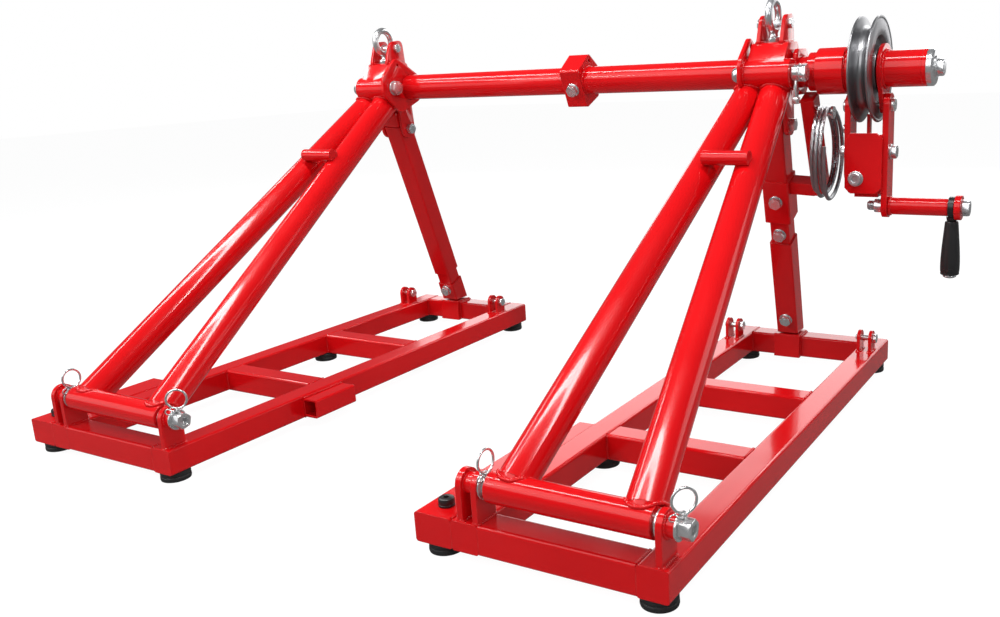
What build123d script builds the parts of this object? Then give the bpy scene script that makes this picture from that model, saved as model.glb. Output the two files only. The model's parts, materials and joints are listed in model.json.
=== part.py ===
"""Cable drum jack: two folding stands that carry a drum spindle, with a sheave and a winding crank."""
from build123d import *
import math
import os

os.makedirs("parts", exist_ok=True)

# Base frames: ladders of square tube, one under each end of the spindle
base_length = 1180.0
base_width = 365.0
rail_size = 50.0
rail_wall = 3.0
rail_corner = 5.0
foot_height = 20.0
foot_radius = 28.0
stand_pitch = 1020.0
outrigger_width = 70.0
outrigger_length = 285.0
cross_rail_fronts = (395.0, 715.0)
mid_foot_from_front = {"left": 725.0, "right": 420.0}
tie_socket_size = 40.0
tie_socket_wall = 4.0
tie_socket_length = 115.0
tie_socket_from_front = 330.0
tie_socket_drop = 6.0

foot_inset = 30.0

# Socket blocks for the struts on the rear rail
socket_size = 62.0
socket_rise = 6.0
socket_depth = 12.0
socket_back = 4.0

# Upright lugs on the rear of the side rails
rear_lug_from_back = 105.0
rear_lug_rise = 30.0
rear_lug_half = 17.0
rear_lug_thickness = 7.0
rear_lug_gap = 18.0

# Screws and knobs on the outriggers
screw_from_front = 95.0
screw_boss_radius = 16.0
screw_boss_height = 10.0
screw_washer_radius = 14.0
screw_washer_height = 3.0
screw_head_radius = 10.0
screw_head_height = 20.0
screw_socket_radius = 5.0
screw_socket_depth = 8.0
knob_from_front = 38.0
knob_radius = 13.0
knob_height = 18.0
knob_chamfer = 3.0
knob_flutes = 8
knob_flute_radius = 2.5

# Front pivots
pivot_rise = 55.0
pivot_inset = 25.0
pivot_tube_radius = 24.15
pivot_tube_left = 300.0
pivot_tube_right = 28.0
pivot_tube_cavity = 20.0
pivot_bush_length = 30.0
pin_radius = 10.0
pin_left = 362.0
pin_head_start = 18.0
pin_head_length = 16.0
pin_head_flats = 30.0
bracket_width = 46.0
bracket_thickness = 10.0
inner_bracket_faces = (-323.0, -351.0)
outer_bracket_face = -20.0
boss_radius = 17.0

# Ring clips through the pivot pins
clip_wire_radius = 2.2
clip_ring_radius = 18.0
clip_shank_drop = 17.0
clip_offsets = {"inner": -308.0, "outer": 13.0}
clip_turns = {"inner": 90.0, "outer": 50.0}

# A-frame legs, measured from each stand's outer face
leg_radius = 30.15
leg_wall = 4.0
leg_foot_right = -50.0
leg_foot_left = -266.0
leg_top_left = -40.0
leg_top_right = 10.0
leg_top_drop = 36.0
leg_pivot_relief = 12.0
brace_radius = 13.5
brace_wall = 3.0
brace_along_leg = 0.73
brace_span = (-42.0, 48.0)

# Heads and the spindle that they carry
head_offset = -170.0
spindle_z = 690.0
spindle_from_front = 905.0
spindle_radius = 30.15
spindle_bore = 25.0
barrel_setback = 60.0
barrel_radius = 28.0
bearing_radius = 36.0
cheek_inside = 43.0
cheek_thickness = 8.0
cheek_corner = 11.0
cheek_hole = (20.0, 54.0)
cheek_hole_radius = 4.0
saddle_half_width = 38.0
saddle_corner = 5.0
saddle_rise = 60.0
ear_inside = 20.0
ear_thickness = 8.0
ear_corner = 13.0
ear_bolt_from_barrel = 46.0
ear_bolt_rise = 96.0
eye_from_barrel = 34.0
eye_ring_radius = 28.0
eye_rod_radius = 7.5
eye_centre_rise = 112.0
eye_collar_radius = 15.0
eye_collar_height = 10.0
eye_shank_radius = 9.0
eye_shank_height = 26.0
clamp_bolt_radius = 10.0
clamp_bolt_flats = 30.0
clamp_bolt_head = 15.0
dome_radius = 13.0
dome_washer_radius = 17.0
yoke_inside = 28.0
yoke_thickness = 8.0
yoke_radius = 22.0
yoke_corner = 18.0
yoke_top = (38.0, 94.0)
yoke_top_drop = 20.0
lever_width = 13.0
lever_hub_radius = 16.0
lever_arm_radius = 6.5
lever_arm_length = 52.0
lever_arm_drop = 34.0

# Outlines of the head's plates, in Y and Z from the front barrel's axis
cheek_outline = ((-38, -14), (20, -62), (102, -34), (102, 30), (18, 74), (-38, 26))
saddle_outline = ((-20, 18), (14, saddle_rise), (70, saddle_rise), (90, 18))
ear_outline = ((6, 54), (30, 112), (62, 116), (68, 88), (78, 30))

# Struts: a square tube that telescopes in another, leaning back to the rear rail
strut_offset = -185.0
strut_foot_offset = -225.0
strut_size = 50.0
strut_wall = 3.0
strut_inner_size = 43.0
strut_sleeve_size = 58.0
strut_hinge_behind = 20.0
strut_hinge_drop = 105.0
strut_foot_inset = 30.0
strut_foot_clearance = 4.0
strut_bolt_radius = 8.0
strut_corner = 4.0
strut_bore_corner = 1.5
strut_top = -16.0
strut_top_block_half = 14.0
strut_trim = 120.0
sleeve_top = 124.0
upper_ends = {"left": 455.0, "right": 228.0}
inner_starts = {"left": 250.0, "right": 130.0}
lower_starts = {"left": 490.0, "right": 286.0}
foot_bolt_rise = {"left": 49.0, "right": 57.0}
inner_bolt_along = 262.0
sleeve_bolt_along = 172.0

# Spindle fittings, measured from the right stand's outer face
spindle_left_reach = 62.0
collar_from_face = -640.0
collar_length = 50.0
collar_corner = 6.0
collar_bolt_at = (-29.0, -19.0)
collar_hole_at = (4.0, 43.0)
collar_hole_radius = 4.0
step_collar_start = -100.0
sleeve_start = -82.0
sleeve_end = -27.0
sleeve_radius = 45.5
step_radius = 38.0
sheave_start = -3.0
sheave_width = 39.0
sheave_radius = 101.0
groove_radius = 78.0
lug_thickness = 8.0
lug_gap = 3.0
lug_reach = 68.0
lug_radius = 16.0
flange_radius = 48.0
lug_root_drop = 33.0
hub_radius = 43.0
hub_fillet = 3.0
rim_inside = 64.0
rim_slope = 5.0
web_half = 7.0
groove_lip = 4.0
groove_edge = 2.0
groove_floor_half = 9.0
groove_floor_rise = 6.0
drum_sleeve_radius = 35.0
drum_sleeve_end = 118.0
end_ring_length = 21.0
end_ring_chamfer = 3.0
end_washer_radius = 22.0
end_bolt_flats = 32.0
end_bolt_length = 16.0
end_plug_length = 6.0

# The stop collar's outline, in Y and Z from the spindle's axis
collar_outline = ((-46, 22), (4, 58), (42, 32), (42, -36), (-12, -60))

# Winding crank under the sheave
fork_thickness = 11.5
fork_depth = 46.0
fork_gap = 0.5
fork_pin_radius = 7.0
fork_pin_head_radius = 13.0
fork_pin_head_length = 7.0
fork_pin_gap = 0.4
left_bar_overlap = 20.0
block_top_drop = 123.0
block_height = 115.0
block_foot_height = 8.0
block_foot_inset = 8.0
tab_half_width = 3.0
tab_half_depth = 7.0
tab_gap = 7.0
cover_width = 72.0
cover_height = 118.0
cover_rise = 2.0
cover_overlap = 6.0
cover_corner = 11.0
cover_thickness = 8.0
cover_screw_side = 14.0
cover_screw_drop = 85.0
cover_screw_head_radius = 12.5
cover_screw_head_length = 9.0
cover_screw_socket_radius = 6.5
cover_screw_socket_depth = 4.0
side_bolt_drop = 35.0
stop_button_radius = 9.0
stop_button_length = 8.0
stop_button_rise = 10.0
crank_drop = 264.0
crank_radius = 17.0
crank_core_radius = 10.0
crank_end = 172.0
handle_eye_width = 11.0
handle_eye_radius = 21.0
end_lug_thickness = 12.0
end_lug_radius = 24.0
end_nut_length = 15.0
end_nut_flats = 28.0
inner_nut_length = 16.0
inner_nut_flats = 26.0
thread_stub = 14.0
rod_radius = 6.0
rod_tail = 6.0
rod_cap_radius = 11.0
rod_cap_gap = 0.5
grip_top_drop = 26.0
grip_length = 105.0
grip_top_radius = 12.0
grip_neck_drop = 40.0
grip_swell = 3.0
grip_belly_rise = 20.0
grip_bottom_radius = 18.0

# Wire rope coil on its bracket beside the right strut
coil_rope_bundle_radius = 11.0
coil_turn_radius = 90.0
coil_centre_drop = 152.0
hanger_start = 68.0
hanger_width = 28.0
hanger_corner = 4.0
hanger_spacer_start = 128.0
hanger_spacer_length = 28.0
hanger_spacer_inset = 8.0
hanger_coil_gap = 2.0
hanger_depth = 42.0
hanger_top = -62.0
hanger_bottom = 158.0
hanger_peg_radius = 8.0
hanger_peg_tail = 6.0
hanger_peg_head_radius = 13.0
hanger_peg_head_length = 5.0

# Fits
running_fit = 0.08
seat_fit = 0.02
clearance = 0.5

# Fasteners
bolt_flats = 24.0
bolt_head = 10.0
washer_radius = 15.0
washer_thickness = 2.5
small_bolt_radius = 6.0
small_bolt_flats = 19.0
small_bolt_head = 8.0

# Derived places
crank_overhang = crank_end + handle_eye_width + 2 * clearance + end_lug_thickness + end_nut_length
span = outrigger_width + base_width + stand_pitch + crank_overhang
right_face = span / 2 - crank_overhang
front = -base_length / 2
rail_bottom = foot_height
rail_top = foot_height + rail_size
pivot_y = front + pivot_inset
pivot_z = rail_top + pivot_rise
spindle_y = front + spindle_from_front
head_y = spindle_y - barrel_setback
ear_bolt_y = head_y + ear_bolt_from_barrel
strut_hinge_y = spindle_y + strut_hinge_behind
strut_hinge_z = spindle_z - strut_hinge_drop
strut_foot_y = -front - strut_foot_inset
strut_foot_z = rail_top + socket_rise
stand_faces = {"left": right_face - stand_pitch, "right": right_face}
strut_rise = strut_hinge_z - strut_foot_z
strut_run = strut_foot_y - strut_hinge_y
strut_side = strut_foot_offset - strut_offset
strut_length = math.hypot(strut_rise, strut_run, strut_side)
strut_lean = math.degrees(math.atan2(strut_run, strut_rise))
sheave_end = sheave_start + sheave_width
left_lug_end = sheave_start - lug_gap
right_lug_start = sheave_end + lug_gap
fork_left = left_lug_end - lug_thickness - fork_gap
fork_right = right_lug_start + lug_thickness + fork_gap


def save(piece, name):
    """Label a finished piece and write its STEP file."""
    piece.part.label = name
    export_step(piece.part, f"parts/{name}.step")


def box_between(low, high, mode=Mode.ADD):
    """Add a block that spans two opposite corners."""
    size = [b - a for a, b in zip(low, high)]
    middle = [(a + b) / 2 for a, b in zip(low, high)]
    with Locations(tuple(middle)):
        Box(*size, mode=mode)


def rod_along_x(x_start, x_end, y, z, radius, mode=Mode.ADD):
    """Add a round bar that runs along X."""
    with Locations(Location(((x_start + x_end) / 2, y, z), (0, 90, 0))):
        Cylinder(radius, x_end - x_start, mode=mode)


def hexagon_along_x(x_start, x_end, y, z, flats):
    """Add a hexagon head or nut whose axis is X."""
    with BuildSketch(Plane.YZ.offset(x_start)) as outline:
        with Locations((y, z)):
            RegularPolygon(flats / 2, 6, major_radius=False)
    extrude(outline.sketch, amount=x_end - x_start)


def profile_along_x(points, x_start, x_end, corner, holes=(), mode=Mode.ADD):
    """Add a plate cut to a rounded outline in the Y-Z plane."""
    with BuildSketch(Plane.YZ.offset(x_start)) as outline:
        with BuildLine():
            Polyline(*points, close=True)
        make_face()
        fillet(outline.vertices(), corner)
        for hole_y, hole_z, hole_radius in holes:
            with Locations((hole_y, hole_z)):
                Circle(hole_radius, mode=Mode.SUBTRACT)
    extrude(outline.sketch, amount=x_end - x_start, mode=mode)


def capped_rail(low, high, along):
    """A square tube with both ends capped and its long corners rounded."""
    inner_low = tuple(a + rail_wall for a in low)
    inner_high = tuple(b - rail_wall for b in high)
    with BuildPart() as tube:
        box_between(low, high)
        fillet(tube.edges().filter_by(along), rail_corner)
        box_between(inner_low, inner_high, Mode.SUBTRACT)
    return tube


# Base frames
def build_base(side, face):
    """The rails of one base frame."""
    left = face - base_width
    rails = {
        "left_rail": ((left, front), (left + rail_size, -front), Axis.Y),
        "right_rail": ((face - rail_size, front), (face, -front), Axis.Y),
        "front_rail": ((left + rail_size, front), (face - rail_size, front + rail_size), Axis.X),
        "rear_rail": ((left + rail_size, -front - rail_size), (face - rail_size, -front), Axis.X),
    }
    for rail, (low, high, along) in rails.items():
        save(capped_rail((*low, rail_bottom), (*high, rail_top), along), f"{side}_base_{rail}")
    with BuildPart() as cross_rails:
        for start in cross_rail_fronts:
            low = (left + rail_size, front + start, rail_bottom)
            high = (face - rail_size, front + start + rail_size, rail_top)
            add(capped_rail(low, high, Axis.X).part)
    save(cross_rails, f"{side}_base_cross_rails")


def build_outriggers():
    """The wide strips that carry the knobs, outside each left rail."""
    with BuildPart() as outriggers:
        for face in stand_faces.values():
            right = face - base_width
            low = (right - outrigger_width, front, rail_bottom)
            high = (right, front + outrigger_length, rail_top)
            add(capped_rail(low, high, Axis.Y).part)
    save(outriggers, "base_outriggers")


def build_tie_sockets():
    """Short open channels on the facing sides of the stands, for a tie bar between them."""
    y_start = front + tie_socket_from_front
    top = rail_top - tie_socket_drop
    starts = (stand_faces["left"], stand_faces["right"] - base_width - tie_socket_size)
    with BuildPart() as sockets:
        for x_start in starts:
            centre = (x_start + tie_socket_size / 2, top - tie_socket_size / 2)
            with BuildSketch(Plane.XZ.offset(-y_start)):
                with Locations(centre):
                    RectangleRounded(tie_socket_size, tie_socket_size, rail_corner)
                    inner = tie_socket_size - 2 * tie_socket_wall
                    RectangleRounded(inner, inner, tie_socket_wall / 2, mode=Mode.SUBTRACT)
            extrude(amount=-tie_socket_length)
    save(sockets, "tie_sockets")


def foot_places(side, face):
    """Centres of the five feet under one base."""
    left = face - base_width
    return [
        (face - foot_inset, front + foot_inset),
        (left - outrigger_width / 2, front + foot_inset),
        (left + foot_inset, front + mid_foot_from_front[side]),
        (face - foot_inset, -front - foot_inset),
        (left + foot_inset, -front - foot_inset),
    ]


def build_feet():
    """Round rubber feet with a tapered lower edge."""
    with BuildPart() as feet:
        for side, face in stand_faces.items():
            for place in foot_places(side, face):
                with Locations((*place, foot_height / 2)):
                    Cylinder(foot_radius, foot_height)
        chamfer(feet.edges().group_by(Axis.Z)[0], foot_radius / 10)
    save(feet, "rubber_feet")


def bracket_outline():
    """Outline of a pivot bracket in the Y-Z plane, from the rail up to a round top."""
    half = bracket_width / 2
    with BuildSketch() as outline:
        with BuildLine():
            Polyline((pivot_y - half, pivot_z), (pivot_y - half, rail_top), (pivot_y + half, rail_top),
                     (pivot_y + half, pivot_z))
            ThreePointArc((pivot_y + half, pivot_z), (pivot_y, pivot_z + half), (pivot_y - half, pivot_z))
        make_face()
        with Locations((pivot_y, pivot_z)):
            Circle(pin_radius + seat_fit, mode=Mode.SUBTRACT)
    return outline.sketch


def build_pivot_brackets():
    """Two plates at the left and one at the right of each front pivot."""
    outline = bracket_outline()
    with BuildPart() as brackets:
        for face in stand_faces.values():
            for start in (*inner_bracket_faces, outer_bracket_face):
                with BuildSketch(Plane.YZ.offset(face + start)):
                    add(outline)
                extrude(amount=bracket_thickness)
            boss_spans = (
                (inner_bracket_faces[1] + bracket_thickness, inner_bracket_faces[0]),
                (outer_bracket_face + bracket_thickness, clip_offsets["outer"] - boss_radius / 2),
            )
            for start, end in boss_spans:
                rod_along_x(face + start, face + end, pivot_y, pivot_z, boss_radius)
                rod_along_x(face + start, face + end, pivot_y, pivot_z, pin_radius + seat_fit,
                            Mode.SUBTRACT)
    save(brackets, "pivot_brackets")


def build_pivot_pins():
    """Turned pins with a hexagon head, cross drilled for the ring clips."""
    with BuildPart() as pins:
        for face in stand_faces.values():
            rod_along_x(face - pin_left, face + pin_head_start, pivot_y, pivot_z, pin_radius)
            hexagon_along_x(face + pin_head_start, face + pin_head_start + pin_head_length,
                            pivot_y, pivot_z, pin_head_flats)
            for offset in clip_offsets.values():
                with Locations((face + offset, pivot_y, pivot_z)):
                    Cylinder(clip_wire_radius + running_fit, 3 * pin_radius, mode=Mode.SUBTRACT)
    save(pins, "pivot_pins")


def build_ring_clips():
    """A wire ring on a straight shank, one at each end of each pin."""
    for side, face in stand_faces.items():
        for end, offset in clip_offsets.items():
            place = Location((face + offset, pivot_y, pivot_z), (0, 0, clip_turns[end]))
            ring_rise = pin_head_flats * 0.65 + clip_ring_radius + clip_wire_radius
            shank_top = ring_rise - clip_ring_radius
            with BuildPart() as clip:
                with Locations(place * Location((0, 0, (shank_top - clip_shank_drop) / 2))):
                    Cylinder(clip_wire_radius, shank_top + clip_shank_drop)
                with Locations(place * Location((0, 0, ring_rise), (90, 0, 0))):
                    Torus(clip_ring_radius, clip_wire_radius)
            save(clip, f"{side}_{end}_ring_clip")


def build_rear_lugs():
    """Pairs of small upright lugs on the rear of both side rails, and their pins."""
    lug_y = -front - rear_lug_from_back
    top = rail_top + rear_lug_rise
    half = rear_lug_half
    middles = []
    for face in stand_faces.values():
        middles += [face - rail_size / 2, face - base_width + rail_size / 2]
    with BuildPart() as lugs:
        for middle in middles:
            for start in (middle - rear_lug_gap / 2 - rear_lug_thickness, middle + rear_lug_gap / 2):
                with BuildSketch(Plane.YZ.offset(start)):
                    with BuildLine():
                        Polyline((lug_y - half, top), (lug_y - half, rail_top),
                                 (lug_y + half, rail_top), (lug_y + half, top))
                        ThreePointArc((lug_y + half, top), (lug_y, top + half), (lug_y - half, top))
                    make_face()
                    with Locations((lug_y, top)):
                        Circle(small_bolt_radius + seat_fit, mode=Mode.SUBTRACT)
                extrude(amount=rear_lug_thickness)
    save(lugs, "rear_lugs")
    reach = rear_lug_gap / 2 + rear_lug_thickness
    with BuildPart() as pins:
        for middle in middles:
            rod_along_x(middle - reach - small_bolt_radius, middle + reach, lug_y, top, small_bolt_radius)
            hexagon_along_x(middle + reach, middle + reach + small_bolt_head, lug_y, top, small_bolt_flats)
    save(pins, "rear_lug_pins")


def build_strut_sockets():
    """Blocks on the rear rail's top and inner face that the struts stand over."""
    half = socket_size / 2
    inner = -front - rail_size
    with BuildPart() as sockets:
        for face in stand_faces.values():
            middle = face + strut_foot_offset
            left = middle - half
            right = middle + half
            box_between((left, inner - socket_depth, rail_bottom), (right, inner, strut_foot_z))
            box_between((left, inner, rail_top), (right, -front - socket_back, strut_foot_z))
        chamfer(sockets.edges().filter_by(Axis.X).group_by(Axis.Z)[-1], socket_rise / 3)
    save(sockets, "strut_sockets")


def build_outrigger_screws():
    """A socket head screw on a washer and boss beside each knob."""
    y = front + screw_from_front
    washer_z = rail_top + screw_boss_height
    head_z = washer_z + screw_washer_height
    head_top = head_z + screw_head_height
    with BuildPart() as screws:
        for face in stand_faces.values():
            x = face - base_width - outrigger_width / 2
            with Locations((x, y, rail_top + screw_boss_height / 2)):
                Cylinder(screw_boss_radius, screw_boss_height)
            with Locations((x, y, washer_z + screw_washer_height / 2)):
                Cylinder(screw_washer_radius, screw_washer_height)
            with Locations((x, y, head_z + screw_head_height / 2)):
                Cylinder(screw_head_radius, screw_head_height)
            with Locations((x, y, head_top - screw_socket_depth / 2)):
                Cylinder(screw_socket_radius, screw_socket_depth, mode=Mode.SUBTRACT)
    save(screws, "outrigger_screws")


def build_knobs():
    """Black fluted knobs that turn on the outriggers."""
    for side, face in stand_faces.items():
        x = face - base_width - outrigger_width / 2
        y = front + knob_from_front
        middle = (x, y, rail_top + clearance + knob_height / 2)
        with BuildPart() as knob:
            with Locations(middle):
                Cylinder(knob_radius, knob_height)
            chamfer(knob.edges().group_by(Axis.Z)[-1], knob_chamfer)
            with Locations(Location(middle)):
                with PolarLocations(knob_radius + knob_flute_radius / 2, knob_flutes):
                    Cylinder(knob_flute_radius, 2 * knob_height, mode=Mode.SUBTRACT)
        save(knob, f"{side}_locking_knob")


# A-frames
def build_pivot_tubes():
    """Round tubes that turn on the pins, bushed at both ends."""
    with BuildPart() as tubes:
        for face in stand_faces.values():
            start = face - pivot_tube_left
            end = face - pivot_tube_right
            rod_along_x(start, end, pivot_y, pivot_z, pivot_tube_radius)
            rod_along_x(start, end, pivot_y, pivot_z, pin_radius + running_fit, Mode.SUBTRACT)
            rod_along_x(start + pivot_bush_length, end - pivot_bush_length, pivot_y, pivot_z,
                        pivot_tube_cavity, Mode.SUBTRACT)
    save(tubes, "pivot_tubes")


def head_part(middle):
    """Cheeks, front barrel, bearing, saddle, ears and strut yoke of one head, welded in one."""
    def from_barrel(points):
        return [(head_y + y, spindle_z + z) for y, z in points]

    yoke = [
        (head_y + yoke_top[0], spindle_z - yoke_top_drop),
        (strut_hinge_y - yoke_radius, strut_hinge_z - yoke_radius),
        (strut_hinge_y + yoke_radius, strut_hinge_z - yoke_radius),
        (head_y + yoke_top[1], spindle_z - yoke_top_drop),
    ]
    (hole_y, hole_z), = from_barrel([cheek_hole])
    reach = cheek_inside + cheek_thickness + 1
    low = middle - reach
    high = middle + reach
    yoke_middle = middle + strut_offset - head_offset
    yoke_reach = yoke_inside + yoke_thickness + 1
    with BuildPart() as head:
        rod_along_x(middle - cheek_inside, middle + cheek_inside, head_y, spindle_z, barrel_radius)
        rod_along_x(middle - cheek_inside, middle + cheek_inside, spindle_y, spindle_z, bearing_radius)
        profile_along_x(from_barrel(saddle_outline), middle - saddle_half_width, middle + saddle_half_width,
                        saddle_corner)
        for outside in (-1, 1):
            start = middle + outside * (cheek_inside + cheek_thickness / 2) - cheek_thickness / 2
            profile_along_x(from_barrel(cheek_outline), start, start + cheek_thickness, cheek_corner,
                            [(hole_y, hole_z, cheek_hole_radius)])
            start = middle + outside * (ear_inside + ear_thickness / 2) - ear_thickness / 2
            profile_along_x(from_barrel(ear_outline), start, start + ear_thickness, ear_corner)
            start = yoke_middle + outside * (yoke_inside + yoke_thickness / 2) - yoke_thickness / 2
            profile_along_x(yoke, start, start + yoke_thickness, yoke_corner)
        rod_along_x(low, high, spindle_y, spindle_z, spindle_radius + running_fit, Mode.SUBTRACT)
        rod_along_x(low, high, head_y, spindle_z, clamp_bolt_radius + seat_fit, Mode.SUBTRACT)
        rod_along_x(low, high, ear_bolt_y, spindle_z + ear_bolt_rise, small_bolt_radius + seat_fit,
                    Mode.SUBTRACT)
        rod_along_x(yoke_middle - yoke_reach, yoke_middle + yoke_reach, strut_hinge_y, strut_hinge_z,
                    strut_bolt_radius + seat_fit, Mode.SUBTRACT)
    return head


def build_head_fasteners():
    """Clamp bolts and ear bolts of both heads in one group, strut hinge bolts in another."""
    outer = cheek_inside + cheek_thickness
    ear_outer = ear_inside + ear_thickness
    ear_z = spindle_z + ear_bolt_rise
    with BuildPart() as bolts:
        for side, face in stand_faces.items():
            middle = face + head_offset
            reach = outer
            if side == "right":
                reach += lever_width + 2 * clearance
            dome_start = middle - outer - washer_thickness
            rod_along_x(middle - outer, middle + reach, head_y, spindle_z, clamp_bolt_radius)
            hexagon_along_x(middle + reach, middle + reach + clamp_bolt_head, head_y, spindle_z,
                            clamp_bolt_flats)
            rod_along_x(dome_start, middle - outer, head_y, spindle_z, dome_washer_radius)
            rod_along_x(dome_start - bolt_head, dome_start, head_y, spindle_z, dome_radius)
            for outside in (-1, 1):
                inner_x = middle + outside * ear_inside
                outer_x = middle + outside * ear_outer
                head_x = outer_x + outside * small_bolt_head
                low, high = sorted((inner_x, outer_x))
                rod_along_x(low, high, ear_bolt_y, ear_z, small_bolt_radius)
                low, high = sorted((outer_x, head_x))
                hexagon_along_x(low, high, ear_bolt_y, ear_z, small_bolt_flats)
    save(bolts, "head_bolts")
    yoke_outer = yoke_inside + yoke_thickness
    with BuildPart() as hinge_bolts:
        for face in stand_faces.values():
            middle = face + strut_offset
            rod_along_x(middle - yoke_outer, middle + yoke_outer, strut_hinge_y, strut_hinge_z,
                        strut_bolt_radius)
            for start in (-yoke_outer - bolt_head, yoke_outer):
                hexagon_along_x(middle + start, middle + start + bolt_head, strut_hinge_y, strut_hinge_z,
                                bolt_flats)
    save(hinge_bolts, "strut_hinge_bolts")


def build_lifting_eyes():
    """A forged eye on a collar between each head's ears."""
    base_z = spindle_z + saddle_rise
    eye_y = head_y + eye_from_barrel
    with BuildPart() as eyes:
        for face in stand_faces.values():
            middle = face + head_offset
            with Locations((middle, eye_y, base_z + eye_collar_height / 2)):
                Cylinder(eye_collar_radius, eye_collar_height)
            with Locations((middle, eye_y, base_z + eye_shank_height / 2)):
                Cylinder(eye_shank_radius, eye_shank_height)
            with Locations(Location((middle, eye_y, spindle_z + eye_centre_rise), (0, 90, 0))):
                Torus(eye_ring_radius, eye_rod_radius)
    save(eyes, "lifting_eyes")


def leg_solid(face, foot_offset, side_sign):
    """One leg as a coped, mitred tube that runs under the barrel, and its axis as two points."""
    middle = face + head_offset
    mitre = middle + (leg_top_left + leg_top_right) / 2
    top_offset = leg_top_right if side_sign > 0 else leg_top_left
    foot = Vector(face + foot_offset, pivot_y, pivot_z)
    barrel = Vector(middle + top_offset, head_y, spindle_z)
    slope = (barrel - foot).normalized()
    top = barrel + Vector(0, slope.Z, -slope.Y) * leg_top_drop
    direction = (top - foot).normalized()
    start = foot + direction * leg_pivot_relief
    length = (top - start).length + barrel_setback
    with BuildPart() as leg:
        with BuildSketch(Plane(origin=start, z_dir=direction)):
            Circle(leg_radius)
            Circle(leg_radius - leg_wall, mode=Mode.SUBTRACT)
        extrude(amount=length)
        rod_along_x(face - base_width, face, pivot_y, pivot_z, pivot_tube_radius, Mode.SUBTRACT)
        keep = Keep.TOP if side_sign > 0 else Keep.BOTTOM
        split(bisect_by=Plane.YZ.offset(mitre), keep=keep)
        for y, radius in ((head_y, barrel_radius), (spindle_y, bearing_radius)):
            rod_along_x(face - base_width, face, y, spindle_z, radius, Mode.SUBTRACT)
        head = head_part(middle).part
        add(head, mode=Mode.SUBTRACT)
    biggest = leg.part.solids().sort_by(SortBy.VOLUME)[-1]
    return biggest, foot, top


def build_legs():
    """Both legs of each A-frame, and the short brace that lies across them."""
    braces = []
    for side, face in stand_faces.items():
        middle = face + head_offset
        solids = []
        axes = []
        for leg, foot_offset, sign in (("left", leg_foot_left, -1), ("right", leg_foot_right, 1)):
            solid, foot, top = leg_solid(face, foot_offset, sign)
            with BuildPart() as piece:
                add(solid)
            save(piece, f"{side}_stand_{leg}_leg")
            solids.append(solid)
            axes.append((foot, top))
        foot, top = axes[1]
        point = foot + (top - foot) * brace_along_leg
        slope = (top - foot).normalized()
        normal = Vector(1, 0, 0).cross(Vector(0, slope.Y, slope.Z)).normalized()
        centre = point + normal * (leg_radius + brace_radius * 0.6)
        with BuildPart() as brace:
            rod_along_x(middle + brace_span[0], middle + brace_span[1], centre.Y, centre.Z, brace_radius)
            for solid in solids:
                add(solid, mode=Mode.SUBTRACT)
        braces.append(brace.part.solids().sort_by(SortBy.VOLUME)[-1])
    with BuildPart() as both:
        for brace in braces:
            add(brace)
    save(both, "leg_braces")


# Struts
def strut_plane(face):
    """Plane at a strut's hinge whose normal runs down the strut to its foot."""
    origin = (face + strut_offset, strut_hinge_y, strut_hinge_z)
    down = Vector(strut_side, strut_run, -strut_rise).normalized()
    across = (Vector(1, 0, 0) - down * down.X).normalized()
    return Plane(origin=origin, x_dir=across, z_dir=down)


def hanger_plane(face):
    """Plane at a strut's hinge that leans back with the strut, but not sideways."""
    origin = (face + strut_offset, strut_hinge_y, strut_hinge_z)
    down = Vector(0, strut_run, -strut_rise).normalized()
    return Plane(origin=origin, x_dir=(1, 0, 0), z_dir=down)


def square_tube(plane, start, end, outer, inner):
    """Add a length of square tube along a strut."""
    with BuildSketch(plane.offset(start)) as outline:
        RectangleRounded(outer, outer, strut_corner)
        RectangleRounded(inner, inner, strut_bore_corner, mode=Mode.SUBTRACT)
    extrude(outline.sketch, amount=end - start)


def bolt_on_face(origin, outward):
    """Add a hexagon bolt head on a washer, standing on a face."""
    with BuildSketch(Plane(origin=origin, x_dir=(1, 0, 0), z_dir=outward)) as washer:
        Circle(washer_radius)
    extrude(washer.sketch, amount=washer_thickness)
    head_origin = origin + outward * washer_thickness
    with BuildSketch(Plane(origin=head_origin, x_dir=(1, 0, 0), z_dir=outward)) as hexagon:
        RegularPolygon(bolt_flats / 2, 6, major_radius=False)
    extrude(hexagon.sketch, amount=bolt_head)


def bolt_on_strut(plane, along, face_offset):
    """Add a bolt head on the front of a strut."""
    bolt_on_face(Vector(plane.from_local_coords((0, face_offset, along))), plane.y_dir)


def build_struts():
    """Upper and lower halves of both struts."""
    inner_bore = strut_inner_size + 2 * clearance
    block = strut_top_block_half
    for side, face in stand_faces.items():
        plane = strut_plane(face)
        middle = face + strut_offset
        lower_end = strut_length + strut_size
        half = strut_size / 2 - 1
        with BuildPart() as upper:
            square_tube(plane, strut_top, upper_ends[side], strut_size, inner_bore)
            if side == "right":
                square_tube(plane, sleeve_top, upper_ends[side], strut_sleeve_size, strut_size)
            box_between((middle - half, strut_hinge_y - block, strut_hinge_z - block),
                        (middle + half, strut_hinge_y + block, strut_hinge_z + block))
            rod_along_x(middle - strut_size, middle + strut_size, strut_hinge_y, strut_hinge_z,
                        strut_bolt_radius + running_fit, Mode.SUBTRACT)
        save(upper, f"{side}_strut_upper")
        with BuildPart() as lower:
            square_tube(plane, inner_starts[side], lower_end, strut_inner_size,
                        strut_inner_size - 2 * strut_wall)
            square_tube(plane, lower_starts[side], lower_end, strut_size, strut_inner_size - 2 * clearance)
            foot_x = face + strut_foot_offset
            foot_z = strut_foot_z + strut_foot_clearance
            box_between((foot_x - strut_trim, strut_foot_y - strut_trim, foot_z - strut_trim),
                        (foot_x + strut_trim, strut_foot_y + strut_trim, foot_z), Mode.SUBTRACT)
        save(lower, f"{side}_strut_lower")


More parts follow.
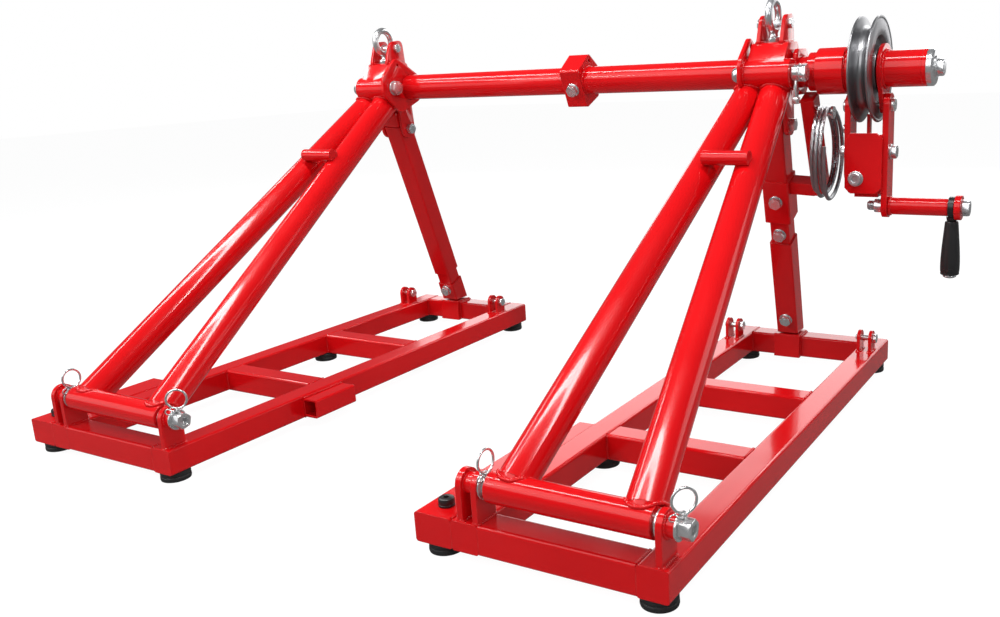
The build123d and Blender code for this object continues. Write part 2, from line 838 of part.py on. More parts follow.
def build_strut_fasteners():
    """Bolts that lock the two halves of each strut and hold their feet."""
    left = strut_plane(stand_faces["left"])
    right = strut_plane(stand_faces["right"])
    with BuildPart() as left_bolt:
        bolt_on_strut(left, strut_length - foot_bolt_rise["left"], strut_size / 2)
    save(left_bolt, "left_strut_bolt")
    with BuildPart() as right_bolts:
        bolt_on_strut(right, strut_length - foot_bolt_rise["right"], strut_size / 2)
        bolt_on_strut(right, inner_bolt_along, strut_inner_size / 2)
    save(right_bolts, "right_strut_bolts")


# Spindle and what turns with it
def ring_along_x(x_start, x_end, radius, bore):
    """Add a ring on the spindle's axis."""
    with BuildSketch(Plane.YZ.offset(x_start)) as outline:
        with Locations((spindle_y, spindle_z)):
            Circle(radius)
            Circle(bore, mode=Mode.SUBTRACT)
    extrude(outline.sketch, amount=x_end - x_start)


def hanging_lug(x_start, x_end):
    """Add a lug that reaches down from the spindle's axis to the crank pins."""
    low = spindle_z - lug_reach
    with BuildSketch(Plane.YZ.offset(x_start)) as outline:
        with BuildLine():
            root_half = flange_radius * 0.7
            root_z = spindle_z - lug_root_drop
            Polyline((spindle_y - lug_radius, low), (spindle_y - root_half, root_z),
                     (spindle_y + root_half, root_z), (spindle_y + lug_radius, low))
            ThreePointArc((spindle_y + lug_radius, low), (spindle_y, low - lug_radius),
                          (spindle_y - lug_radius, low))
        make_face()
        with Locations((spindle_y, spindle_z)):
            Circle(flange_radius)
            Circle(spindle_radius + seat_fit, mode=Mode.SUBTRACT)
        with Locations((spindle_y, low)):
            Circle(fork_pin_radius + seat_fit, mode=Mode.SUBTRACT)
    extrude(outline.sketch, amount=x_end - x_start)


def build_spindle():
    """The long tube, its centre collar, and the sleeves at the crank end."""
    left_end = stand_faces["left"] + head_offset - spindle_left_reach
    right_end = right_face + drum_sleeve_end
    with BuildPart() as tube:
        ring_along_x(left_end, right_end, spindle_radius, spindle_bore)
        ring_along_x(left_end, left_end + end_plug_length, spindle_bore, pin_radius / 2)
    save(tube, "spindle_tube")
    build_collar()
    with BuildPart() as sleeve:
        ring_along_x(right_face + step_collar_start, right_face + sleeve_start, step_radius,
                     spindle_radius + seat_fit)
        ring_along_x(right_face + sleeve_start, right_face + sleeve_end, sleeve_radius,
                     spindle_radius + seat_fit)
        lug_start = right_face + left_lug_end - lug_thickness
        ring_along_x(right_face + sleeve_end, lug_start, step_radius, spindle_radius + seat_fit)
        hanging_lug(lug_start, right_face + left_lug_end)
    save(sleeve, "spindle_sleeve")
    with BuildPart() as drum_sleeve:
        flange_end = right_face + right_lug_start + lug_thickness
        hanging_lug(right_face + right_lug_start, flange_end)
        ring_along_x(flange_end, right_face + drum_sleeve_end, drum_sleeve_radius,
                     spindle_radius + seat_fit)
    save(drum_sleeve, "drum_sleeve")
    with BuildPart() as end_cap:
        ring_end = right_end + end_ring_length
        with Locations(Location(((right_end + ring_end) / 2, spindle_y, spindle_z), (0, 90, 0))):
            Cylinder(drum_sleeve_radius, end_ring_length)
        chamfer(end_cap.edges().group_by(Axis.X)[-1], end_ring_chamfer)
        head_start = ring_end + washer_thickness
        rod_along_x(ring_end, head_start, spindle_y, spindle_z, end_washer_radius)
        hexagon_along_x(head_start, head_start + end_bolt_length, spindle_y, spindle_z, end_bolt_flats)
    save(end_cap, "spindle_end_cap")


def build_collar():
    """The five-sided stop collar at the middle of the spindle, and its clamp bolt."""
    middle = right_face + collar_from_face
    low = middle - collar_length
    high = middle + collar_length
    points = [(spindle_y + y, spindle_z + z) for y, z in collar_outline]
    first, last = Vector(0, *points[0]), Vector(0, *points[-1])
    edge = (last - first).normalized()
    outward = Vector(0, edge.Z, -edge.Y)
    with BuildPart() as collar:
        profile_along_x(points, middle - collar_length / 2, middle + collar_length / 2, collar_corner)
        rod_along_x(low, high, spindle_y, spindle_z, spindle_radius + seat_fit, Mode.SUBTRACT)
        rod_along_x(low, high, spindle_y + collar_hole_at[0], spindle_z + collar_hole_at[1],
                    collar_hole_radius, Mode.SUBTRACT)
    save(collar, "spindle_collar")
    with BuildPart() as bolt:
        bolt_on_face(Vector(middle, spindle_y + collar_bolt_at[0], spindle_z + collar_bolt_at[1]), outward)
    save(bolt, "collar_bolt")


def build_sheave():
    """The grooved wheel, turned from one profile: hub, recessed web, rim and rope groove."""
    half = sheave_width / 2
    centre = right_face + sheave_start + half
    bore = spindle_radius + running_fit
    floor = groove_radius + groove_floor_rise
    edge = sheave_radius - groove_edge
    with BuildPart() as sheave:
        with BuildSketch(Plane.XY.offset(spindle_z)) as outline:
            with BuildLine():
                def at(x, radius):
                    return (centre + x, spindle_y + radius)
                Polyline(at(-half, bore), at(-half, hub_radius), at(-web_half, hub_radius + hub_fillet),
                         at(-web_half, rim_inside - rim_slope), at(-half, rim_inside), at(-half, edge),
                         at(-half + groove_edge, sheave_radius), at(-half + groove_lip, sheave_radius),
                         at(-groove_floor_half, floor))
                ThreePointArc(at(-groove_floor_half, floor), at(0, groove_radius),
                              at(groove_floor_half, floor))
                Polyline(at(groove_floor_half, floor), at(half - groove_lip, sheave_radius),
                         at(half - groove_edge, sheave_radius), at(half, edge), at(half, rim_inside),
                         at(web_half, rim_inside - rim_slope), at(web_half, hub_radius + hub_fillet),
                         at(half, hub_radius), at(half, bore), at(-half, bore))
            make_face()
        revolve(axis=Axis((centre, spindle_y, spindle_z), (1, 0, 0)))
    save(sheave, "sheave")


# Winding crank
def upright_outline(top, bottom, half):
    """Rounded flat bar in the Y-Z plane between two heights."""
    with BuildSketch() as outline:
        with Locations((spindle_y, (top + bottom) / 2)):
            SlotCenterToCenter(top - bottom, 2 * half, rotation=90)
    return outline.sketch


def build_crank():
    """Fork, cover plate, pins, crank bar, handle and grip."""
    pin_z = spindle_z - lug_reach
    axis_z = spindle_z - crank_drop
    block_top = spindle_z - block_top_drop
    block_bottom = block_top - block_height
    left_outer = right_face + fork_left - fork_thickness
    left_inner = right_face + fork_left
    right_inner = right_face + fork_right
    right_outer = right_inner + fork_thickness
    half = fork_depth / 2
    inset = block_foot_inset
    with BuildPart() as fork:
        with BuildSketch(Plane.YZ.offset(right_inner)) as right_bar:
            add(upright_outline(pin_z, axis_z, half))
        extrude(right_bar.sketch, amount=fork_thickness)
        with BuildSketch(Plane.YZ.offset(left_outer)) as left_bar:
            add(upright_outline(pin_z, block_bottom + half + left_bar_overlap, half))
        extrude(left_bar.sketch, amount=fork_thickness)
        box_between((left_inner, spindle_y - half, block_bottom),
                    (right_inner, spindle_y + half, block_top))
        box_between((left_inner + inset, spindle_y - half + inset, block_bottom - block_foot_height),
                    (right_inner - inset, spindle_y + half - inset, block_bottom))
        tab_x = right_face + sheave_start + sheave_width / 2
        tab_top = spindle_z - groove_radius - tab_gap
        box_between((tab_x - tab_half_width, spindle_y - tab_half_depth, block_top),
                    (tab_x + tab_half_width, spindle_y + tab_half_depth, tab_top))
        rod_along_x(left_outer - 1, right_outer + 1, spindle_y, pin_z, fork_pin_radius + running_fit,
                    Mode.SUBTRACT)
        rod_along_x(right_inner - 1, right_outer + 1, spindle_y, axis_z, crank_core_radius + running_fit,
                    Mode.SUBTRACT)
    save(fork, "crank_fork")
    cover_middle = (left_outer + right_inner + cover_overlap) / 2
    with BuildPart() as cover:
        with BuildSketch(Plane.XZ.offset(-(spindle_y - half))) as outline:
            with Locations((cover_middle, block_top - block_height / 2 + cover_rise)):
                Rectangle(cover_width, cover_height)
            chamfer(outline.vertices(), cover_corner)
        extrude(amount=cover_thickness)
    save(cover, "crank_cover")
    build_crank_fasteners(left_outer, right_outer, cover_middle, block_top)
    build_fork_pins(left_outer, right_outer, pin_z)
    build_crank_bar(right_inner, right_outer, axis_z)


def build_fork_pins(left_outer, right_outer, pin_z):
    """Headed pins from the spindle's lugs through the tops of the fork."""
    left_lug = right_face + left_lug_end
    right_lug = right_face + right_lug_start
    spans = ((left_lug, left_outer, -1), (right_lug, right_outer, 1))
    with BuildPart() as pins:
        for lug, bar, outside in spans:
            neck = bar + outside * fork_pin_gap
            head = neck + outside * fork_pin_head_length
            rod_along_x(min(lug, neck), max(lug, neck), spindle_y, pin_z, fork_pin_radius)
            rod_along_x(min(neck, head), max(neck, head), spindle_y, pin_z, fork_pin_head_radius)
    save(pins, "fork_pins")


def disc_on_cover(place, start, length, radius, mode=Mode.ADD):
    """Add a disc in front of the crank's cover plate."""
    x, face_y, z = place
    with Locations(Location((x, face_y - start - length / 2, z), (90, 0, 0))):
        Cylinder(radius, length, mode=mode)


def build_crank_fasteners(left_outer, right_outer, cover_middle, block_top):
    """Hexagon bolts on the sides of the fork and a socket screw in the cover."""
    bolt_z = block_top - side_bolt_drop
    left_washer = left_outer - washer_thickness
    right_washer = right_outer + washer_thickness
    head_end = washer_thickness + cover_screw_head_length
    place = (cover_middle - cover_screw_side, spindle_y - fork_depth / 2 - cover_thickness,
             block_top - cover_screw_drop)
    with BuildPart() as bolts:
        rod_along_x(right_outer, right_washer, spindle_y, bolt_z, washer_radius)
        hexagon_along_x(right_washer, right_washer + bolt_head, spindle_y, bolt_z, bolt_flats)
        rod_along_x(left_washer, left_outer, spindle_y, bolt_z, washer_radius)
        hexagon_along_x(left_washer - bolt_head, left_washer, spindle_y, bolt_z, bolt_flats)
        rod_along_x(left_outer - stop_button_length, left_outer, spindle_y, block_top + stop_button_rise,
                    stop_button_radius)
        disc_on_cover(place, 0, washer_thickness, washer_radius)
        disc_on_cover(place, washer_thickness, cover_screw_head_length, cover_screw_head_radius)
        disc_on_cover(place, head_end - cover_screw_socket_depth, cover_screw_socket_depth,
                      cover_screw_socket_radius, Mode.SUBTRACT)
    save(bolts, "crank_bolts")


def build_crank_bar(right_inner, right_outer, axis_z):
    """The bar that turns in the fork's foot, with its nut and end lug, and the hanging handle."""
    bar_start = right_outer + clearance
    bar_end = right_face + crank_end
    eye_end = bar_end + handle_eye_width + 2 * clearance
    lug_end = eye_end + end_lug_thickness
    nut_start = right_inner - clearance - inner_nut_length
    with BuildPart() as bar:
        rod_along_x(nut_start - thread_stub, eye_end, spindle_y, axis_z, crank_core_radius)
        rod_along_x(bar_start, bar_end, spindle_y, axis_z, crank_radius)
        hexagon_along_x(nut_start, nut_start + inner_nut_length, spindle_y, axis_z, inner_nut_flats)
        rod_along_x(eye_end, lug_end, spindle_y, axis_z, end_lug_radius)
        hexagon_along_x(lug_end, lug_end + end_nut_length, spindle_y, axis_z, end_nut_flats)
    save(bar, "crank_bar")
    eye_start = bar_end + clearance
    eye_middle = eye_start + handle_eye_width / 2
    grip_top = axis_z - grip_top_drop
    grip_bottom = grip_top - grip_length
    rod_end = grip_bottom - rod_tail
    with BuildPart() as handle:
        rod_along_x(eye_start, eye_start + handle_eye_width, spindle_y, axis_z, handle_eye_radius)
        with Locations((eye_middle, spindle_y, (axis_z + rod_end) / 2)):
            Cylinder(rod_radius, axis_z - rod_end)
        cap_top = grip_bottom - rod_cap_gap
        with Locations((eye_middle, spindle_y, (cap_top + rod_end) / 2)):
            Cylinder(rod_cap_radius, cap_top - rod_end)
        rod_along_x(eye_start - 1, eye_start + handle_eye_width + 1, spindle_y, axis_z,
                    crank_core_radius + running_fit, Mode.SUBTRACT)
    save(handle, "handle_rod")
    bore = rod_radius + running_fit
    shoulder = grip_bottom_radius - grip_swell
    with BuildPart() as grip:
        with BuildSketch(Plane.XZ.offset(-spindle_y)):
            with BuildLine():
                def at(radius, z):
                    return (eye_middle + radius, z)
                Polyline(at(bore, grip_top), at(grip_top_radius, grip_top))
                Spline(at(grip_top_radius, grip_top),
                       at(grip_top_radius + grip_swell, grip_top - grip_neck_drop),
                       at(grip_bottom_radius, grip_bottom + grip_belly_rise), at(shoulder, grip_bottom))
                Polyline(at(shoulder, grip_bottom), at(bore, grip_bottom), at(bore, grip_top))
            make_face()
        revolve(axis=Axis((eye_middle, spindle_y, grip_bottom), (0, 0, 1)))
    save(grip, "handle_grip")


def build_clamp_lever():
    """A drop lever on the right head's clamp bolt."""
    start = right_face + head_offset + cheek_inside + cheek_thickness + clearance
    end = start + lever_width
    with BuildPart() as lever:
        rod_along_x(start, end, head_y, spindle_z, lever_hub_radius)
        with Locations(((start + end) / 2, head_y, spindle_z - lever_arm_drop)):
            Cylinder(lever_arm_radius, lever_arm_length)
        rod_along_x(start - 1, end + 1, head_y, spindle_z, clamp_bolt_radius + running_fit, Mode.SUBTRACT)
    save(lever, "clamp_lever")


# Wire rope coil and its hanger
def build_coil():
    """A box hanger along the right strut with a peg, and the closed outline of the coil on it."""
    plane = strut_plane(stand_faces["right"])
    strut_x = right_face + strut_offset
    sleeve_half = strut_sleeve_size / 2
    hanger_end = strut_x + hanger_start + hanger_width
    hanger_middle = hanger_start + hanger_width / 2
    with BuildPart() as hanger:
        with BuildSketch(hanger_plane(right_face).offset(hanger_top)) as outline:
            with Locations((hanger_middle, 0)):
                RectangleRounded(hanger_width, hanger_depth, hanger_corner)
        extrude(outline.sketch, amount=hanger_bottom - hanger_top)
        with BuildSketch(plane.offset(hanger_spacer_start)) as spacer:
            with Locations(((sleeve_half + hanger_middle) / 2, 0)):
                Rectangle(hanger_middle - sleeve_half, hanger_depth - hanger_spacer_inset)
        extrude(spacer.sketch, amount=hanger_spacer_length)
    save(hanger, "coil_hanger")
    coil_z = spindle_z - coil_centre_drop
    coil_x = hanger_end + hanger_coil_gap + coil_rope_bundle_radius
    peg_z = coil_z + coil_turn_radius - coil_rope_bundle_radius - hanger_peg_radius
    coil_y = strut_hinge_y + (strut_hinge_z - peg_z) * math.tan(math.radians(strut_lean))
    with BuildPart() as coil:
        with Locations(Location((coil_x, coil_y, coil_z), (0, 90, 0))):
            Torus(coil_turn_radius, coil_rope_bundle_radius)
    save(coil, "wire_rope_coil")
    peg_end = hanger_end + 2 * coil_rope_bundle_radius + hanger_peg_tail
    with BuildPart() as bolts:
        rod_along_x(hanger_end, peg_end, coil_y, peg_z, hanger_peg_radius)
        rod_along_x(peg_end, peg_end + hanger_peg_head_length, coil_y, peg_z, hanger_peg_head_radius)
        bolt_on_strut(plane, sleeve_bolt_along, sleeve_half)
    save(bolts, "right_strut_upper_bolts")


if __name__ == "__main__":
    for stand, outer_face in stand_faces.items():
        build_base(stand, outer_face)
    build_outriggers()
    build_tie_sockets()
    build_feet()
    build_pivot_brackets()
    build_pivot_pins()
    build_ring_clips()
    build_rear_lugs()
    build_strut_sockets()
    build_outrigger_screws()
    build_knobs()
    build_pivot_tubes()
    for stand, outer_face in stand_faces.items():
        save(head_part(outer_face + head_offset), f"{stand}_head")
    build_head_fasteners()
    build_lifting_eyes()
    build_legs()
    build_struts()
    build_strut_fasteners()
    build_spindle()
    build_sheave()
    build_crank()
    build_clamp_lever()
    build_coil()
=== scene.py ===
"""Dressed model of a cable drum jack: tilting tube stands, spindle, sheave, crank and wire rope coil."""
import json
import logging
import math
from dataclasses import dataclass, field
from enum import Enum
from typing import Callable, ClassVar, Optional, Sequence

import bpy
from mathutils import Matrix, Vector


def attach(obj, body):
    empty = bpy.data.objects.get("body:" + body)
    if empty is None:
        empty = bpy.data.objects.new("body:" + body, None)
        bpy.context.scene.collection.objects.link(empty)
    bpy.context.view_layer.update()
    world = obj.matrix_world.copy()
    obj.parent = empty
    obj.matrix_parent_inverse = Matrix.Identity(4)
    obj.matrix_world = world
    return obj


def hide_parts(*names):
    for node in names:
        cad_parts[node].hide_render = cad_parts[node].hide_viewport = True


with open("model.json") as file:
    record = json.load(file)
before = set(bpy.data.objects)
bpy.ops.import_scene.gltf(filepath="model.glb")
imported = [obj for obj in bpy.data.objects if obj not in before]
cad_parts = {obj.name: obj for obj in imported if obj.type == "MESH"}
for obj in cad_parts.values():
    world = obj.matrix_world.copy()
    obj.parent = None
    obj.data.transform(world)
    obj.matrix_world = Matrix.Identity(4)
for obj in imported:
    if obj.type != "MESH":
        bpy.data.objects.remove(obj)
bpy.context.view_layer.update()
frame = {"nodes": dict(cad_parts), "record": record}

LOG = logging.getLogger("drum_jack")
Point = tuple[float, float, float]
Profile = Sequence[tuple[float, float]]
Socket = bpy.types.NodeSocket

X: Point = (1.0, 0.0, 0.0)
MINUS_X: Point = (-1.0, 0.0, 0.0)
UP: Point = (0.0, 0.0, 1.0)
DOWN: Point = (0.0, 0.0, -1.0)
FRONT: Point = (0.0, -1.0, 0.0)
WHITE = (1.0, 1.0, 1.0, 1.0)
SMOOTH_ANGLE = 32.0
BEVEL_ANGLE = 35.0
WELD_TOLERANCE = 0.00002
EDGE_TURN = (0.02, 0.22)
EDGE_BREAKUP = (0.38, 0.66)
SMUDGE_CLOUD = (0.35, 0.70)
SCRATCH_CLOUD = (0.52, 0.62)
SCRATCH_WIDTH = 0.012
SCRATCH_SCALE = 2.3
SCRATCH_STRETCH = (22.0, 2.5, 14.0)
SCRATCH_TURN = (0.4, 0.9, 0.5)
BREAKUP_SCALE = 70.0
MARK_SCALE = 9.0
SHADE_SCALE = 3.5
SHADE_CLOUD = (0.3, 0.7)
COAT_ROUGHNESS = 0.06
GRAIN_DEPTH = 0.0004
STRAND_DEPTH = 0.0006
HEX_EDGE = 0.04
HEX_CORNER = 0.085
HEX_RIM = 0.16
HEX_SMOOTH = 22.0
SOCKET_DEPTH = 0.45
WASHER_HEIGHT = 0.0025
WASHER_EDGE = 0.0006


class Side(Enum):
    """The two stands, by the X of their outer faces in metres."""

    LEFT = -0.398
    RIGHT = 0.622

    @property
    def label(self) -> str:
        """The side's name as it stands in the names of pieces and bodies."""
        return self.name.lower()

    @property
    def head(self) -> float:
        """X of the middle of the stand's head."""
        return self.value + S.head_x

    @property
    def inner(self) -> int:
        """The way along X from the head to the drum, 1 or -1."""
        return 1 if self is Side.LEFT else -1


class Slot(Enum):
    """Material slots of the record."""

    RED = "red_paint"
    ZINC = "zinc_plate"
    TURNED = "turned_steel"
    ROPE = "wire_rope"
    RUBBER = "black_rubber"
    PLASTIC = "black_plastic"


@dataclass(frozen=True)
class JackSizes:
    """Places and sizes shared by several sub-assemblies, in metres."""

    front: float = -0.590
    back: float = 0.590
    rail_top: float = 0.070
    rail_bottom: float = 0.020
    rail: float = 0.050
    base_width: float = 0.365
    outrigger_length: float = 0.285
    outrigger_fittings: float = -0.400
    cross_fronts: tuple[float, float] = (0.395, 0.715)
    pivot_y: float = -0.565
    pivot_z: float = 0.125
    pivot_tube: float = 0.02415
    leg_radius: float = 0.03015
    leg_feet: tuple[float, float] = (-0.266, -0.050)
    leg_tops: tuple[float, float] = (-0.210, -0.160)
    leg_drop: float = 0.036
    head_x: float = -0.170
    cheek: float = 0.051
    strut_x: float = -0.185
    strut_foot_x: float = -0.225
    strut_run: float = 0.225
    strut_rise: float = 0.509
    yoke: float = 0.036
    head_y: float = 0.255
    spindle_y: float = 0.315
    spindle_z: float = 0.690
    spindle: float = 0.03015
    barrel: float = 0.028
    bearing: float = 0.036
    hinge_y: float = 0.335
    hinge_z: float = 0.585
    crank_z: float = 0.426
    fork_pin_z: float = 0.622
    m16_flats: float = 0.024
    m16_height: float = 0.0098
    m16_washer: float = 0.015


S = JackSizes()


# Materials
class NodeSheet:
    """Thin helper that adds nodes and links to one node tree."""

    def __init__(self, tree: bpy.types.NodeTree) -> None:
        """Keep the tree to draw on."""
        self.tree = tree

    @classmethod
    def fresh(cls, owner: bpy.types.ID) -> "NodeSheet":
        """Turn on the nodes of a material or world and clear them.

        Args:
            owner: the material or world.

        Returns:
            The sheet of its nodes.
        """
        owner.use_nodes = True
        owner.node_tree.nodes.clear()
        return cls(owner.node_tree)

    @classmethod
    def group(cls, name: str, inputs: Sequence[str],
              outputs: dict[str, str]) -> tuple["NodeSheet", bpy.types.Node, bpy.types.Node]:
        """Start a shader group with float inputs.

        Args:
            name: name of the group.
            inputs: names of the inputs.
            outputs: kind of each output by its name.

        Returns:
            The group's sheet, its input node and its output node.
        """
        tree = bpy.data.node_groups.new(name, "ShaderNodeTree")
        for socket in inputs:
            tree.interface.new_socket(socket, in_out="INPUT", socket_type="NodeSocketFloat")
        for socket, kind in outputs.items():
            tree.interface.new_socket(socket, in_out="OUTPUT", socket_type=f"NodeSocket{kind}")
        sheet = cls(tree)
        return sheet, sheet.node("NodeGroupInput"), sheet.node("NodeGroupOutput")

    def feed(self, target: Socket, value: object) -> None:
        """Link a socket to an input, or set the input's own value.

        Args:
            target: the input.
            value: a socket or a plain value.
        """
        if isinstance(value, bpy.types.NodeSocket):
            self.tree.links.new(value, target)
        else:
            target.default_value = value

    def node(self, kind: str, inputs: Optional[dict[object, object]] = None,
             **values: object) -> bpy.types.Node:
        """Add a node.

        Args:
            kind: Blender's node type name.
            inputs: socket or value for each input, by its name or place.
            values: property names and values.

        Returns:
            The new node.
        """
        node = self.tree.nodes.new(kind)
        for name, value in values.items():
            setattr(node, name, value)
        for name, value in (inputs or {}).items():
            self.feed(node.inputs[name], value)
        return node

    def math(self, operation: str, *values: object) -> Socket:
        """Add a Math node fed by sockets or numbers and return its output."""
        return self.node("ShaderNodeMath", dict(enumerate(values)), operation=operation).outputs[0]

    def noise(self, vector: Socket, scale: object, detail: float = 3.0, roughness: float = 0.5) -> Socket:
        """Add a noise texture and return its value output."""
        inputs = {"Vector": vector, "Scale": scale, "Detail": detail, "Roughness": roughness}
        return self.node("ShaderNodeTexNoise", inputs).outputs["Fac"]

    def ramp(self, value: Socket, low: float, high: float) -> Socket:
        """Stretch a value so that low becomes 0 and high becomes 1."""
        inputs = {"Value": value, "From Min": low, "From Max": high}
        return self.node("ShaderNodeMapRange", inputs, interpolation_type="SMOOTHSTEP").outputs["Result"]

    def mix(self, factor: object, first: object, second: object) -> Socket:
        """Blend two colours, each a socket or an RGBA tuple, by a factor."""
        return self.node("ShaderNodeMix", {0: factor, 6: first, 7: second}, data_type="RGBA").outputs[2]

    def blend(self, factor: Socket, first: Socket, second: Socket) -> Socket:
        """Blend two shaders by a factor."""
        return self.node("ShaderNodeMixShader", {0: factor, 1: first, 2: second}).outputs[0]


def edge_group() -> bpy.types.NodeTree:
    """Shader group of a mask of the outer edges, and a normal with the edges rounded.

    Returns:
        The group, with outputs Mask and Normal.
    """
    sheet, given, result = NodeSheet.group("edge_finder", ("Radius", "Breakup Scale"),
                                           {"Mask": "Float", "Normal": "Vector"})
    bevel = sheet.node("ShaderNodeBevel", {"Radius": given.outputs["Radius"]}, samples=6)
    rounded = bevel.outputs["Normal"]
    flat = sheet.node("ShaderNodeNewGeometry").outputs["Normal"]
    facing = sheet.node("ShaderNodeVectorMath", {0: rounded, 1: flat}, operation="DOT_PRODUCT")
    turn = sheet.math("SUBTRACT", 1.0, facing.outputs["Value"])
    place = sheet.node("ShaderNodeTexCoord").outputs["Object"]
    grain = sheet.noise(place, given.outputs["Breakup Scale"], 6.0)
    broken = sheet.math("MULTIPLY", sheet.ramp(turn, *EDGE_TURN), sheet.ramp(grain, *EDGE_BREAKUP))
    sheet.feed(result.inputs["Mask"], broken)
    sheet.feed(result.inputs["Normal"], rounded)
    return sheet.tree


def smudge_group() -> bpy.types.NodeTree:
    """Shader group of soft handling marks and fine scratches.

    Returns:
        The group, with outputs Smudge and Scratch.
    """
    sheet, given, result = NodeSheet.group("handling_marks", ("Scale",),
                                           {"Smudge": "Float", "Scratch": "Float"})
    place = sheet.node("ShaderNodeTexCoord").outputs["Object"]
    cloud = sheet.noise(place, given.outputs["Scale"], 8.0, 0.62)
    stretch = sheet.node("ShaderNodeMapping", {"Vector": place, "Scale": SCRATCH_STRETCH,
                                               "Rotation": SCRATCH_TURN})
    lines = sheet.node("ShaderNodeTexVoronoi", {"Vector": stretch.outputs["Vector"],
                                                "Scale": SCRATCH_SCALE}, feature="DISTANCE_TO_EDGE")
    hair = sheet.math("SUBTRACT", 1.0, sheet.ramp(lines.outputs["Distance"], 0.0, SCRATCH_WIDTH))
    rare = sheet.math("MULTIPLY", hair, sheet.ramp(cloud, *SCRATCH_CLOUD))
    sheet.feed(result.inputs["Smudge"], sheet.ramp(cloud, *SMUDGE_CLOUD))
    sheet.feed(result.inputs["Scratch"], rare)
    return sheet.tree


@dataclass(frozen=True)
class Finish:
    """A surface finish and the numbers that shape it."""

    name: str
    slot: Slot
    color: Point
    shade: Point
    # colour of scratches and of the edge mask, lighter than the base colour: along the edges it is partly
    # rubbed wear and partly a painted highlight
    worn_and_edge_sheen: Point
    metallic: float
    roughness: tuple[float, float]
    bump_scale: float
    bump_strength: float
    edge_radius: float
    coat: float = 0.0
    specular: float = 0.5
    # strength of the lighter edge colour: partly wear, partly a painted highlight along the edges
    edge_wear_and_sheen: float = 0.5
    scratches: float = 0.02
    turned: bool = False
    stranded: bool = False

    def build(self, edges: bpy.types.NodeTree, marks: bpy.types.NodeTree) -> bpy.types.Material:
        """Draw the finish as a node material.

        Args:
            edges: the shared edge group.
            marks: the shared handling marks group.

        Returns:
            The material.
        """
        material = bpy.data.materials.new(self.name)
        sheet = NodeSheet.fresh(material)
        material.diffuse_color = (*self.color, 1.0)
        place = sheet.node("ShaderNodeTexCoord").outputs["Object"]
        edge = sheet.node("ShaderNodeGroup", {"Radius": self.edge_radius, "Breakup Scale": BREAKUP_SCALE},
                          node_tree=edges)
        mark = sheet.node("ShaderNodeGroup", {"Scale": MARK_SCALE}, node_tree=marks)
        cloud = sheet.ramp(sheet.noise(place, SHADE_SCALE, 4.0), *SHADE_CLOUD)
        color = sheet.mix(cloud, (*self.shade, 1.0), (*self.color, 1.0))
        # edges turn to the lighter worn colour, partly rubbed wear and partly a painted highlight along the
        # edges; the scratches are real wear
        scratched_and_sheen = sheet.math("MAXIMUM", sheet.math("MULTIPLY", edge.outputs["Mask"], self.edge_wear_and_sheen),
                          sheet.math("MULTIPLY", mark.outputs["Scratch"], self.scratches))
        low, high = self.roughness
        shader = sheet.node("ShaderNodeBsdfPrincipled", {
            "Base Color": sheet.mix(scratched_and_sheen, color, (*self.worn_and_edge_sheen, 1.0)),
            "Roughness": sheet.math("MULTIPLY_ADD", mark.outputs["Smudge"], high - low, low),
            "Normal": self.normal(sheet, place, edge.outputs["Normal"]),
            "Metallic": self.metallic, "Specular IOR Level": self.specular,
            "Coat Weight": self.coat, "Coat Roughness": COAT_ROUGHNESS})
        sheet.node("ShaderNodeOutputMaterial", {"Surface": shader.outputs["BSDF"]})
        return material

    def normal(self, sheet: NodeSheet, place: Socket, base: Socket) -> Socket:
        """Bump for the grain, turning marks or rope strands.

        Args:
            sheet: node helper of the material.
            place: object coordinates.
            base: the normal with rounded edges.

        Returns:
            The final normal.
        """
        if self.turned:
            centre = sheet.node("ShaderNodeMapping", {"Vector": place,
                                                      "Location": (0.0, -S.spindle_y, -S.spindle_z)})
            split = sheet.node("ShaderNodeSeparateXYZ", {"Vector": centre.outputs["Vector"]}).outputs
            flat = sheet.math("ADD", sheet.math("POWER", split["Y"], 2.0),
                              sheet.math("POWER", split["Z"], 2.0))
            radial = sheet.node("ShaderNodeCombineXYZ", {"X": split["X"], "Y": sheet.math("SQRT", flat)})
            height = sheet.noise(radial.outputs["Vector"], self.bump_scale, 6.0)
        elif self.stranded:
            height = self.strands(sheet)
        else:
            height = sheet.noise(place, self.bump_scale)
        return sheet.node("ShaderNodeBump", {
            "Strength": self.bump_strength, "Distance": STRAND_DEPTH if self.stranded else GRAIN_DEPTH,
            "Height": height, "Normal": base}).outputs["Normal"]

    @staticmethod
    def strands(sheet: NodeSheet) -> Socket:
        """Height of the strands that run round a rope, along its own UV map.

        Args:
            sheet: node helper of the material.

        Returns:
            The height.
        """
        place = sheet.node("ShaderNodeUVMap").outputs["UV"]
        split = sheet.node("ShaderNodeSeparateXYZ", {"Vector": place}).outputs
        along_rope = sheet.math("MULTIPLY", split["X"], 2 * math.pi * RopeCoil.lays)
        around = sheet.math("MULTIPLY", split["Y"], 2 * math.pi * RopeCoil.strands)
        return sheet.math("ABSOLUTE", sheet.math("SINE", sheet.math("ADD", along_rope, around)))
